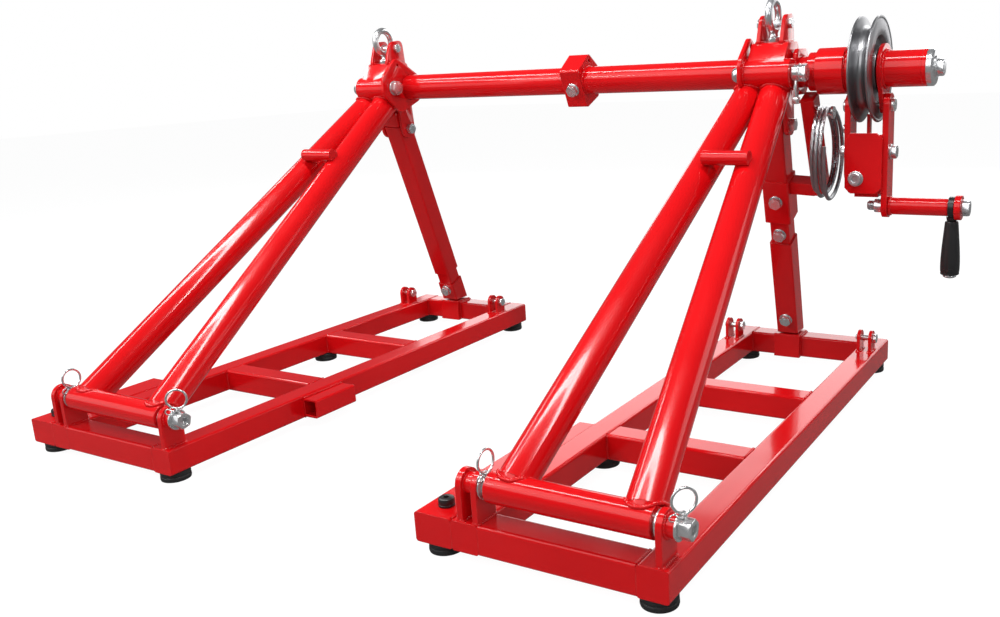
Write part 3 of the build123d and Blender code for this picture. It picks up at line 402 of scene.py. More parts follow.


# the third colour of each finish lightens its edges and scratches; on the edges it is partly wear and
# partly a painted highlight
FINISHES = (
    Finish("red_powder_coat", Slot.RED, (0.62, 0.004, 0.006), (0.56, 0.003, 0.005), (0.84, 0.10, 0.09),
           0.0, (0.13, 0.20), 320.0, 0.022, 0.0026, coat=0.38, specular=0.20, edge_wear_and_sheen=0.34),
    Finish("bright_zinc", Slot.ZINC, (0.80, 0.80, 0.79), (0.62, 0.63, 0.65), (0.85, 0.85, 0.84),
           0.86, (0.18, 0.32), 500.0, 0.08, 0.0006, edge_wear_and_sheen=0.7, scratches=0.2),
    Finish("turned_steel", Slot.TURNED, (0.34, 0.34, 0.35), (0.24, 0.24, 0.25), (0.60, 0.60, 0.61),
           1.0, (0.33, 0.42), 900.0, 0.03, 0.0008, scratches=0.04, turned=True),
    Finish("drawn_wire_rope", Slot.ROPE, (0.50, 0.50, 0.51), (0.30, 0.30, 0.32), (0.75, 0.75, 0.75),
           1.0, (0.25, 0.45), 500.0, 0.9, 0.0004, stranded=True),
    Finish("black_rubber", Slot.RUBBER, (0.018, 0.018, 0.019), (0.010, 0.010, 0.011), (0.06, 0.06, 0.06),
           0.0, (0.48, 0.68), 1400.0, 0.35, 0.0012),
    Finish("black_grip_plastic", Slot.PLASTIC, (0.016, 0.016, 0.017), (0.010, 0.010, 0.010),
           (0.07, 0.07, 0.07), 0.0, (0.26, 0.38), 1100.0, 0.05, 0.0010, edge_wear_and_sheen=0.3),
)


class Finishes:
    """All finishes of the jack, built once."""

    def __init__(self) -> None:
        """Build the shared groups and each material."""
        edges, marks = edge_group(), smudge_group()
        self.materials = {finish.slot: finish.build(edges, marks) for finish in FINISHES}

    def dress(self, piece: bpy.types.Object, slot: Slot) -> None:
        """Give a new piece the one finish of its slot.

        Args:
            piece: the piece.
            slot: the finish's slot in the record.
        """
        piece.data.materials.clear()
        piece.data.materials.append(self.materials[slot])

    def dress_nodes(self) -> None:
        """Give every CAD node the finish of its own slot."""
        slots = {part["node"]: Slot(part["material_slot"]) for part in frame["record"]["subparts"]}
        for name, node in frame["nodes"].items():
            if not node.material_slots:
                node.data.materials.append(self.materials[slots[name]])
            for place in node.material_slots:
                place.material = self.materials[slots[name]]


# Modelling
class Bench:
    """Modelling operations that work the way they are done by hand."""

    patterns: ClassVar[dict[tuple, bpy.types.Mesh]] = {}

    @staticmethod
    def clear() -> None:
        """Leave edit mode and deselect everything."""
        if bpy.context.object and bpy.context.object.mode != "OBJECT":
            bpy.ops.object.mode_set(mode="OBJECT")
        bpy.ops.object.select_all(action="DESELECT")

    @classmethod
    def pick(cls, *pieces: bpy.types.Object) -> None:
        """Select pieces and make the first one active.

        Args:
            pieces: the pieces.
        """
        cls.clear()
        for piece in pieces:
            piece.select_set(True)
        bpy.context.view_layer.objects.active = pieces[0]

    @classmethod
    def once(cls, key: tuple, model: Callable[[], bpy.types.Object]) -> bpy.types.Object:
        """Model what repeats the first time that it is asked for, and copy it after that.

        Args:
            key: the kind of piece and its sizes.
            model: makes the piece at the origin.

        Returns:
            The piece, with a mesh of its own.
        """
        if key not in cls.patterns:
            piece = model()
            cls.patterns[key] = piece.data.copy()
            return piece
        copy = bpy.data.objects.new(key[0], cls.patterns[key].copy())
        bpy.context.scene.collection.objects.link(copy)
        return copy

    @classmethod
    def put_away(cls) -> None:
        """Delete the meshes that were only copied from."""
        while cls.patterns:
            bpy.data.meshes.remove(cls.patterns.popitem()[1])

    @staticmethod
    def apply() -> bpy.types.Object:
        """Apply the active piece's transform and return the piece."""
        bpy.ops.object.transform_apply(location=True, rotation=True, scale=True)
        return bpy.context.object

    @staticmethod
    def smooth(angle: float = SMOOTH_ANGLE) -> None:
        """Smooth the active piece up to an angle in degrees."""
        bpy.ops.object.shade_smooth_by_angle(angle=math.radians(angle))

    @classmethod
    def path(cls, corners: Sequence[Point]) -> bpy.types.Object:
        """Extrude one point along corners, and leave it all selected in edit mode.

        Args:
            corners: the points to go through.

        Returns:
            The new piece.
        """
        cls.clear()
        bpy.ops.mesh.primitive_plane_add(size=1.0)
        bpy.ops.object.mode_set(mode="EDIT")
        bpy.ops.mesh.select_all(action="SELECT")
        bpy.ops.mesh.merge(type="CENTER")
        bpy.ops.transform.translate(value=corners[0])
        for before, after in zip(corners, corners[1:]):
            step = [end - start for start, end in zip(before, after)]
            bpy.ops.mesh.extrude_region_move(TRANSFORM_OT_translate={"value": step})
        bpy.ops.mesh.select_all(action="SELECT")
        return bpy.context.object

    @classmethod
    def lathe(cls, profile: Profile, steps: int = 48) -> bpy.types.Object:
        """Spin a profile of (radius, height) points round the Z axis.

        Args:
            profile: points from the lower middle to the upper middle.
            steps: faces round the turn.

        Returns:
            The turned solid, at the origin.
        """
        piece = cls.path([(radius, 0.0, height) for radius, height in profile])
        bpy.ops.mesh.spin(steps=steps, angle=2 * math.pi, center=(0, 0, 0), axis=UP)
        bpy.ops.mesh.select_all(action="SELECT")
        bpy.ops.mesh.remove_doubles(threshold=WELD_TOLERANCE)
        bpy.ops.mesh.normals_make_consistent(inside=False)
        bpy.ops.object.mode_set(mode="OBJECT")
        cls.smooth()
        return piece

    @classmethod
    def hexagon(cls, flats: float, height: float, corner: float, socket: float = 0.0) -> bpy.types.Object:
        """A hexagon head standing on Z = 0 with its top corners cut back.

        Args:
            flats: width across flats.
            height: height of the head.
            corner: how far the corners are cut.
            socket: radius of a recess in the top, or 0.

        Returns:
            The head, at the origin.
        """
        cls.clear()
        bpy.ops.mesh.primitive_cylinder_add(vertices=6, radius=flats / math.sqrt(3), depth=height,
                                            location=(0, 0, height / 2))
        piece = cls.apply()
        for vertex in piece.data.vertices:
            vertex.select = vertex.co.z > height / 2
        bpy.ops.object.mode_set(mode="EDIT")
        bpy.ops.mesh.bevel(offset=corner, affect="VERTICES", segments=1)
        bpy.ops.mesh.select_all(action="DESELECT")
        bpy.ops.object.mode_set(mode="OBJECT")
        for face in piece.data.polygons:
            face.select = face.normal.z > 0.9
        bpy.ops.object.mode_set(mode="EDIT")
        bpy.ops.mesh.select_mode(type="FACE")
        bpy.ops.mesh.inset(thickness=flats / 2 - socket if socket else flats * HEX_RIM)
        depth = -height * SOCKET_DEPTH if socket else height * HEX_EDGE
        bpy.ops.mesh.extrude_region_move(TRANSFORM_OT_translate={"value": (0, 0, depth)})
        bpy.ops.mesh.select_mode(type="VERT")
        bpy.ops.object.mode_set(mode="OBJECT")
        cls.round_edges(piece, height * HEX_EDGE, 1, HEX_SMOOTH)
        return piece

    @classmethod
    def modify(cls, piece: bpy.types.Object, kind: str, **values: object) -> None:
        """Add a modifier to a piece and apply it.

        Args:
            piece: the piece.
            kind: Blender's modifier type.
            values: property names and values.
        """
        cls.pick(piece)
        modifier = piece.modifiers.new(kind.lower(), kind)
        for name, value in values.items():
            setattr(modifier, name, value)
        bpy.ops.object.modifier_apply(modifier=modifier.name)

    @classmethod
    def round_edges(cls, piece: bpy.types.Object, width: float, segments: int,
                    smooth: float = SMOOTH_ANGLE) -> None:
        """Bevel sharp edges and smooth up to an angle in degrees.

        Args:
            piece: the piece.
            width: width of the bevel.
            segments: faces across it.
            smooth: angle up to which faces are smoothed.
        """
        cls.modify(piece, "BEVEL", width=width, segments=segments, limit_method="ANGLE",
                   angle_limit=math.radians(BEVEL_ANGLE))
        cls.smooth(smooth)

    @classmethod
    def block(cls, low: Point, high: Point, edge: float) -> bpy.types.Object:
        """A block between two corners with rounded edges.

        Args:
            low: the lowest corner.
            high: the highest corner.
            edge: width of the rounding.

        Returns:
            The block.
        """
        cls.clear()
        middle = [(a + b) / 2 for a, b in zip(low, high)]
        bpy.ops.mesh.primitive_cube_add(size=1.0, location=middle)
        bpy.ops.transform.resize(value=[b - a for a, b in zip(low, high)])
        piece = cls.apply()
        cls.round_edges(piece, edge, 2)
        return piece

    @classmethod
    def torus(cls, at: Point, radius: float, wire: float, segments: tuple[int, int],
              turn: Point) -> bpy.types.Object:
        """A smooth ring.

        Args:
            at: middle of the ring.
            radius: radius of the ring.
            wire: half its thickness.
            segments: faces round the ring and round its section.
            turn: rotation about X, Y and Z.

        Returns:
            The ring, with its place applied.
        """
        cls.clear()
        bpy.ops.mesh.primitive_torus_add(major_radius=radius, minor_radius=wire, major_segments=segments[0],
                                         minor_segments=segments[1], location=at, rotation=turn)
        piece = cls.apply()
        bpy.ops.object.shade_smooth()
        return piece

    @classmethod
    def plate(cls, outline: Profile, start: float, end: float, corner: float,
              bores: Sequence[Point] = (), edge: float = 0.0010) -> bpy.types.Object:
        """A flat plate across X with rounded corners and bored holes.

        Args:
            outline: corners of the plate, as (y, z).
            start: X of one face.
            end: X of the other face.
            corner: radius of the corners.
            bores: (y, z, radius) of each hole.
            edge: width of the bevel along its edges.

        Returns:
            The plate, in place.
        """
        piece = cls.path([(start, y, z) for y, z in outline])
        bpy.ops.mesh.edge_face_add()
        bpy.ops.mesh.bevel(offset=corner, affect="VERTICES", segments=6)
        bpy.ops.mesh.select_all(action="SELECT")
        bpy.ops.mesh.extrude_region_move(TRANSFORM_OT_translate={"value": (end - start, 0.0, 0.0)})
        bpy.ops.mesh.select_all(action="SELECT")
        bpy.ops.mesh.normals_make_consistent(inside=False)
        bpy.ops.object.mode_set(mode="OBJECT")
        for y, z, radius in bores:
            bpy.ops.mesh.primitive_cylinder_add(vertices=64, radius=radius, depth=3 * abs(end - start),
                                                location=((start + end) / 2, y, z),
                                                rotation=(0, math.pi / 2, 0))
            cutter = bpy.context.object
            cls.modify(piece, "BOOLEAN", operation="DIFFERENCE", object=cutter)
            bpy.data.objects.remove(cutter, do_unlink=True)
        cls.round_edges(piece, edge, 2)
        return piece

    @staticmethod
    def place(piece: bpy.types.Object, at: Sequence[float], outward: Sequence[float]) -> bpy.types.Object:
        """Stand a piece made along +Z on a point, along a direction, and apply it.

        Args:
            piece: the piece.
            at: the point.
            outward: the direction.

        Returns:
            The piece.
        """
        turn = Vector(UP).rotation_difference(Vector(outward).normalized())
        piece.data.transform(Matrix.Translation(Vector(at)) @ turn.to_matrix().to_4x4())
        return piece

    @classmethod
    def join(cls, pieces: Sequence[bpy.types.Object], name: str) -> bpy.types.Object:
        """Join pieces into one and name it.

        Args:
            pieces: the pieces.
            name: name of the whole.

        Returns:
            The whole.
        """
        cls.pick(*pieces)
        if len(pieces) > 1:
            bpy.ops.object.join()
        whole = bpy.context.object
        whole.name = whole.data.name = name
        return whole

    @classmethod
    def curve(cls, name: str, points: Sequence[Point], radius: float, fineness: int,
              smooth: bool) -> tuple[bpy.types.Object, bpy.types.Spline]:
        """A round open curve along points, as a smooth or a plain line.

        Args:
            name: name of the curve.
            points: the centre line.
            radius: half the thickness.
            fineness: fineness of the section.
            smooth: whether the line is a smooth spline.

        Returns:
            The curve and its spline.
        """
        curve = bpy.data.curves.new(name, "CURVE")
        curve.dimensions = "3D"
        curve.bevel_depth = radius
        curve.bevel_resolution = fineness
        curve.use_fill_caps = True
        spline = curve.splines.new("NURBS" if smooth else "POLY")
        spline.points.add(len(points) - 1)
        for place, point in zip(spline.points, points):
            place.co = (*point, 1.0)
        if smooth:
            spline.order_u = 3
            spline.use_endpoint_u = True
        piece = bpy.data.objects.new(name, curve)
        bpy.context.scene.collection.objects.link(piece)
        return piece, spline

    @classmethod
    def wire(cls, points: Sequence[Point], radius: float, closed: bool = False,
             ripple: float = 0.0, sides: int = 1, smooth: bool = False) -> bpy.types.Object:
        """A round wire or weld bead along points, as a mesh.

        Args:
            points: the centre line.
            radius: half the thickness.
            closed: whether the ends meet.
            ripple: share by which the thickness swells at every third point.
            sides: fineness of the section.
            smooth: whether the line is a smooth spline.

        Returns:
            The wire, in place.
        """
        cls.clear()
        piece, spline = cls.curve("wire", points, radius, sides, smooth)
        for index, place in enumerate(spline.points):
            place.radius = 1.0 + ripple * math.cos(index * 2 * math.pi / 3)
        if closed:
            spline.use_cyclic_u = True
            spline.use_endpoint_u = False
        cls.pick(piece)
        bpy.ops.object.convert(target="MESH")
        bpy.ops.object.shade_smooth()
        return piece


def along(points: Sequence[Point], pitch: float, closed: bool = False) -> list[Vector]:
    """Divide a line into even steps of about one pitch, back to its start if it is closed.

    Args:
        points: corners of the line.
        pitch: length of a step.
        closed: whether the line returns to its start.

    Returns:
        Points along the line.
    """
    corners = [Vector(p) for p in points]
    if closed:
        corners.append(corners[0])
    result: list[Vector] = []
    for start, end in zip(corners, corners[1:]):
        count = max(1, round((end - start).length / pitch))
        result += [start.lerp(end, i / count) for i in range(count)]
    return result if closed else result + [corners[-1]]


def leg_frame(foot: Vector, top: Vector) -> tuple[Vector, Vector, Vector]:
    """Directions that belong to a leg.

    Args:
        foot: the leg's lower end on its axis.
        top: the leg's upper end on its axis.

    Returns:
        Its own direction, the sideways direction across it and the direction of its upper side.
    """
    direction = (top - foot).normalized()
    side = (Vector(X) - direction * direction.x).normalized()
    return direction, side, side.cross(direction).normalized()


def rod(radius: float, length: float) -> Profile:
    """Profile of a plain round rod."""
    return [(0.0, 0.0), (radius, 0.0), (radius, length), (0.0, length)]


def button(radius: float, height: float, edge: float, rise: float) -> Profile:
    """Profile of a washer or button whose upper edge is cut back by edge across and rise down."""
    return [(0.0, 0.0), (radius, 0.0), (radius, height - rise), (radius - edge, height), (0.0, height)]


def sleeve(bore: float, radius: float, length: float, edge: float, rise: float) -> Profile:
    """Profile of a bored sleeve whose outer edges are cut back by edge across and rise along."""
    return [(bore, 0.0), (radius - edge, 0.0), (radius, rise), (radius, length - rise),
            (radius - edge, length), (bore, length), (bore, 0.0)]


@dataclass
class Group:
    """Pieces that are made one after another and become one piece on one body."""

    finishes: Finishes
    pieces: list[bpy.types.Object] = field(default_factory=list)

    def finish(self, name: str, body: str, replaced: Sequence[str] = (), slot: Slot = Slot.ZINC) -> None:
        """Join what was added since the last call, dress it and let it ride on a body.

        Args:
            name: name of the new piece.
            body: body that it moves with.
            replaced: CAD nodes that it stands for.
            slot: its material slot.
        """
        whole = Bench.join(self.pieces, name)
        self.pieces = []
        self.finishes.dress(whole, slot)
        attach(whole, body)
        if replaced:
            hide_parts(*replaced)
        LOG.info("%s: %d faces", name, len(whole.data.polygons))


@dataclass
class WeldSeams(Group):
    """Rippled weld beads under the paint."""

    radius: float = 0.0030
    ripple_pitch: float = 0.0017
    ripple: float = 0.22
    toe_steps: int = 120

    def line(self, points: Sequence[Point], closed: bool = False, scale: float = 1.0) -> None:
        """Lay a bead along straight runs."""
        run = along(points, self.ripple_pitch * scale, closed)
        self.pieces.append(Bench.wire(run, self.radius * scale, closed, self.ripple))

    def circle(self, x: float, y: float, z: float, radius: float) -> None:
        """Lay a bead round a tube that runs along X.

        Args:
            x: middle of the ring.
            y: middle of the ring.
            z: middle of the ring.
            radius: radius of the tube.
        """
        count = max(12, round(2 * math.pi * radius / self.ripple_pitch))
        ring = [(x, y + radius * math.cos(a), z + radius * math.sin(a))
                for a in (2 * math.pi * i / count for i in range(count))]
        self.pieces.append(Bench.wire(ring, self.radius, True, self.ripple))

    def plate(self, low: Sequence[float], high: Sequence[float], z: float) -> None:
        """Lay a bead round the foot of an upright plate.

        Args:
            low: (x, y) of one corner.
            high: (x, y) of the opposite corner.
            z: height of the bead.
        """
        (left, front), (right, back) = low, high
        self.line(((left, front, z), (right, front, z), (right, back, z), (left, back, z)), True)

    def collar(self, foot: Vector, top: Vector, wrap: float, scale: float) -> None:
        """Lay a bead round a leg's upper side where it runs in under the barrel of its head.

        Args:
            foot: the leg's lower end on its axis.
            top: the leg's upper end on its axis.
            wrap: degrees that the bead goes to each side of the leg's upper line.
            scale: thickness of the bead.
        """
        direction, side, upward = leg_frame(foot, top)
        slope = Vector((0, direction.y, direction.z))
        run = []
        steps = round(wrap / 2)
        for index in range(-steps, steps + 1):
            angle = math.radians(wrap) * index / steps
            edge = (foot + side * (S.leg_radius * math.sin(angle))
                    + upward * (S.leg_radius * math.cos(angle)))
            flat = Vector((0, edge.y - S.head_y, edge.z - S.spindle_z))
            reach = flat.length_squared - S.barrel * S.barrel
            root = flat.dot(slope) ** 2 - slope.length_squared * reach
            if root > 0:
                run.append(edge + direction * ((-flat.dot(slope) - math.sqrt(root)) / slope.length_squared))
        self.line(run, scale=scale)

    def toe(self, foot: Vector, top: Vector, profile: Profile, scale: float) -> None:
        """Lay a bead all round the rounded toe of a leg that stands on the thinner pivot tube.

        Args:
            foot: the leg's lower end, on the tube's axis.
            top: the leg's upper end on its axis.
            profile: the toe's (radius, distance) points, from its lower rim up.
            scale: thickness of the bead.
        """
        direction, side, upward = leg_frame(foot, top)
        tube = S.pivot_tube
        run = []
        for index in range(self.toe_steps):
            angle = 2 * math.pi * index / self.toe_steps
            share = abs(math.cos(angle))
            radius, distance = profile[-1]
            for low in profile[:-1]:
                if low[0] * share >= math.sqrt(max(0.0, tube * tube - low[1] * low[1])):
                    radius, distance = low
                    break
            if (radius, distance) == profile[-1]:
                distance = max(distance, math.sqrt(max(0.0, tube * tube - (radius * share) ** 2)))
            run.append(foot + side * (radius * math.sin(angle)) + upward * (radius * math.cos(angle))
                       + direction * distance)
        after, last = run[1:] + run[:1], run[2:] + run[:2]
        smooth = [(run[i - 2] + run[i - 1] * 2 + run[i] * 3 + after[i] * 2 + last[i]) / 9
                  for i in range(self.toe_steps)]
        self.line(smooth, True, scale)


class Fasteners(Group):
    """Bolts, turned parts and plates."""

    def bolt(self, at: Sequence[float], outward: Sequence[float], flats: float = S.m16_flats,
             height: float = S.m16_height, washer: float = 0.0, turn: float = 0.0,
             socket: float = 0.0) -> None:
        """Add a bolt head, with a washer under it if its radius is given.

        Args:
            at: point on the face under the bolt.
            outward: direction that the head stands in.
            flats: width across flats.
            height: height of the head.
            washer: radius of the washer, or 0.
            turn: rotation of the head about its axis.
            socket: radius of a recess in the top, or 0.
        """
        whole = Bench.once(("bolt", flats, height, washer, turn, socket),
                           lambda: self.head(flats, height, washer, turn, socket))
        self.pieces.append(Bench.place(whole, at, outward))

    @staticmethod
    def head(flats: float, height: float, washer: float, turn: float, socket: float) -> bpy.types.Object:
        """Model a bolt head on its washer.

        Args:
            flats: width across flats.
            height: height of the head.
            washer: radius of the washer, or 0.
            turn: rotation of the head about its axis.
            socket: radius of a recess in the top, or 0.

        Returns:
            The head, at the origin.
        """
        parts = []
        rise = WASHER_HEIGHT if washer else 0.0
        if washer:
            parts.append(Bench.lathe(button(washer, rise, WASHER_EDGE, rise / 4)))
        head = Bench.hexagon(flats, height, flats * HEX_CORNER, socket)
        head.data.transform(Matrix.Translation((0, 0, rise)) @ Matrix.Rotation(turn, 4, "Z"))
        return Bench.join([*parts, head], "bolt")

    def turned(self, profile: Profile, at: Sequence[float], outward: Sequence[float],
               steps: int = 48) -> None:
        """Add a turned piece from its profile."""
        piece = Bench.once(("turned", tuple(profile), steps), lambda: Bench.lathe(profile, steps))
        self.pieces.append(Bench.place(piece, at, outward))

    def thread(self, at: Sequence[float], outward: Sequence[float], radius: float, length: float,
               pitch: float = 0.0015) -> None:
        """Add a stub of ridged thread with a chamfered end.

        Args:
            at: its start.
            outward: direction that it stands in.
            radius: its radius.
            length: its length.
            pitch: distance between the ridges.
        """
        profile = [(0.0, 0.0), (radius * 0.93, 0.0)]
        for index in range(int(length / pitch) - 1):
            z = (index + 0.5) * pitch
            profile += [(radius, z), (radius * 0.90, z + pitch / 2)]
        profile += [(radius * 0.80, length), (0.0, length)]
        self.turned(profile, at, outward, 28)


@dataclass
class BaseFrames:
    """Welds, feet, screws and pins of the two base frames."""

    finishes: Finishes
    lug_y: float = 0.485
    lug_z: float = 0.100
    lug_places: tuple[float, float] = (-0.025, -0.340)
    bracket_half: float = 0.023
    bracket_starts: tuple[float, ...] = (-0.323, -0.351, -0.020)
    bracket_thickness: float = 0.010
    bracket_inset: float = 0.0020
    boss_inset: float = 0.010
    boss_radius: float = 0.017
    lug_outer: float = 0.016
    lug_inner: float = 0.009
    lug_thickness: float = 0.007
    lug_half: float = 0.017
    strut_socket: float = 0.031
    tie_sockets: tuple[float, float] = (-0.398, 0.257)
    tie_ends: tuple[float, float] = (-0.258, -0.147)
    tie_seams: tuple[float, float] = (0.0645, 0.0238)
    seam_inset: float = 0.004
    seam_rise: float = 0.003
    cross_sink: float = 0.0014
    outrigger_sink: float = 0.0012
    cross_scale: float = 0.9
    end_y: float = 0.58
    screw_y: float = -0.495

    def build(self) -> None:
        """Build all pieces that ride on the base frames."""
        seams = WeldSeams(self.finishes)
        front, back = self.tie_ends
        for side, socket in zip(Side, self.tie_sockets):
            self.frame_welds(seams, side.value)
            self.bracket_welds(seams, side.value)
            for z in self.tie_seams:
                seams.line([(socket, front, z), (socket, back, z)])
        seams.finish("base_weld_seams", "base_frames", slot=Slot.RED)
        self.feet()
        self.screws()
        self.pins()

    def frame_welds(self, seams: WeldSeams, face: float) -> None:
        """Seams between the rails of a ladder frame and along its outrigger.

        Args:
            seams: the group that they belong to.
            face: X of the stand's outer face.
        """
        top, low, inset = S.rail_top - self.seam_rise, S.rail_bottom + self.seam_rise, self.seam_inset
        left = face - S.base_width
        bars = [(S.front, S.front + S.rail), (S.back - S.rail, S.back)]
        bars += [(S.front + start, S.front + start + S.rail) for start in S.cross_fronts]
        for start, end in bars:
            for x in (left + S.rail, face - S.rail):
                z = S.rail_top - self.cross_sink
                seams.line([(x, start + inset, z), (x, end - inset, z)], scale=self.cross_scale)
                for y in (start, end):
                    if abs(y) < self.end_y:
                        seams.line([(x, y, low), (x, y, top)], scale=self.cross_scale)
        corner, z = S.front + S.outrigger_length, S.rail_top - self.outrigger_sink
        seams.line([(left, S.front + inset, z), (left, corner, z)])
        seams.line([(left, corner, low), (left, corner, top)])

    def bracket_welds(self, seams: WeldSeams, face: float) -> None:
        """Seams of the pivot brackets, the rear lugs and the strut's socket.

        Args:
            seams: the group that they belong to.
            face: X of the stand's outer face.
        """
        top = S.rail_top
        for start in self.bracket_starts:
            seams.plate((face + start, S.pivot_y - self.bracket_half + self.bracket_inset),
                        (face + start + self.bracket_thickness, S.pivot_y + self.bracket_half), top)
        seams.circle(face - self.boss_inset, S.pivot_y, S.pivot_z, self.boss_radius)
        for place in self.lug_places:
            for start in (face + place - self.lug_outer, face + place + self.lug_inner):
                seams.plate((start, self.lug_y - self.lug_half),
                            (start + self.lug_thickness, self.lug_y + self.lug_half), top)
        strut = face + S.strut_foot_x
        left, right, front = strut - self.strut_socket, strut + self.strut_socket, S.back - S.rail
        seams.plate((left, front), (right, S.back - self.seam_inset), top)
        for x in (left, right):
            seams.line([(x, front, S.rail_bottom + self.seam_rise), (x, front, top)])

    def feet(self) -> None:
        """Rubber feet with a rolled lower lip, a groove and a cast-in washer."""
        group = Fasteners(self.finishes)
        profile = [(0.0, 0.0), (0.0245, 0.0), (0.0272, 0.0012), (0.0280, 0.0040), (0.0278, 0.0085),
                   (0.0266, 0.0095), (0.0266, 0.0110), (0.0276, 0.0122), (0.0276, 0.0188), (0.0268, 0.0200),
                   (0.0, 0.0200)]
        inset = 0.030
        for side in Side:
            right, left = side.value - inset, side.value - S.base_width + inset
            middle = 0.725 if side is Side.LEFT else 0.420
            for x, y in ((right, S.front + inset), (side.value - S.base_width - 0.035, S.front + inset),
                         (left, S.front + middle), (right, S.back - inset), (left, S.back - inset)):
                group.turned(profile, (x, y, 0.0), UP)
        group.finish("moulded_feet", "base_frames", ["rubber_feet"], Slot.RUBBER)

    def screws(self) -> None:
        """Socket head cap screws on washers, with their painted bosses."""
        bosses, screws = Fasteners(self.finishes), Fasteners(self.finishes)
        ribs = [(0.0100 if index % 2 else 0.0097, 0.0008 + index * 0.0008) for index in range(20)]
        for side in Side:
            x, y = side.value + S.outrigger_fittings, self.screw_y
            bosses.turned([(0.0, 0.0), (0.0175, 0.0), (0.016, 0.002), (0.016, 0.009), (0.015, 0.010),
                           (0.0, 0.010)], (x, y, S.rail_top), UP)
            screws.turned(button(0.014, 0.003, 0.0006, 0.0006), (x, y, 0.080), UP)
            screws.turned([(0.0, 0.0), (0.0096, 0.0), *ribs, (0.0099, 0.0185), (0.0090, 0.0200),
                           (0.0060, 0.0200), (0.0055, 0.0190), (0.0055, 0.0120), (0.0, 0.0115)],
                          (x, y, 0.083), UP)
        screws.finish("outrigger_cap_screws", "base_frames", ["outrigger_screws"])
        bosses.finish("outrigger_bosses", "base_frames", slot=Slot.RED)

    def pins(self) -> None:
        """Pivot pins with socketed heads, and the pins of the rear lugs."""
        group = Fasteners(self.finishes)
        axis = (S.pivot_y, S.pivot_z)
        for side in Side:
            face = side.value
            start, end = face - 0.362, face + 0.010
            length = end - start
            group.turned([(0.0, 0.0), (0.0085, 0.0), (0.010, 0.0015), (0.010, length), (0.0, length)],
                         (start, *axis), X)
            group.bolt((face + 0.0082, *axis), X, 0.028, 0.0190, socket=0.0075, turn=0.25)
            group.turned([(0.0, 0.0), (0.0190, 0.0), (0.0195, 0.0005), (0.0195, 0.0030), (0.0190, 0.0035),
                          (0.0, 0.0036)], (face + 0.0047, *axis), X)
            for low, high, outward in ((-0.3127, -0.3003, X), (-0.0203, -0.0277, MINUS_X)):
                width = abs(high - low)
                group.turned([(0.0, 0.0), (0.0205, 0.0), (0.0212, 0.0006), (0.0212, 0.0026),
                              (0.0205, 0.0032), (0.0150, 0.0034), (0.0150, width), (0.0, width)],
                             (face + low, *axis), outward)
        group.finish("turned_pivot_pins", "base_frames", ["pivot_pins"])
        for side in Side:
            for place in self.lug_places:
                middle = side.value + place
                group.bolt((middle + 0.016, self.lug_y, self.lug_z), X, 0.019, 0.008)
                group.turned([(0.0, 0.0), (0.0052, 0.0), (0.006, 0.001), (0.006, 0.038), (0.0, 0.038)],
                             (middle - 0.022, self.lug_y, self.lug_z), X)
        group.finish("rear_lug_bolts", "base_frames", ["rear_lug_pins"])


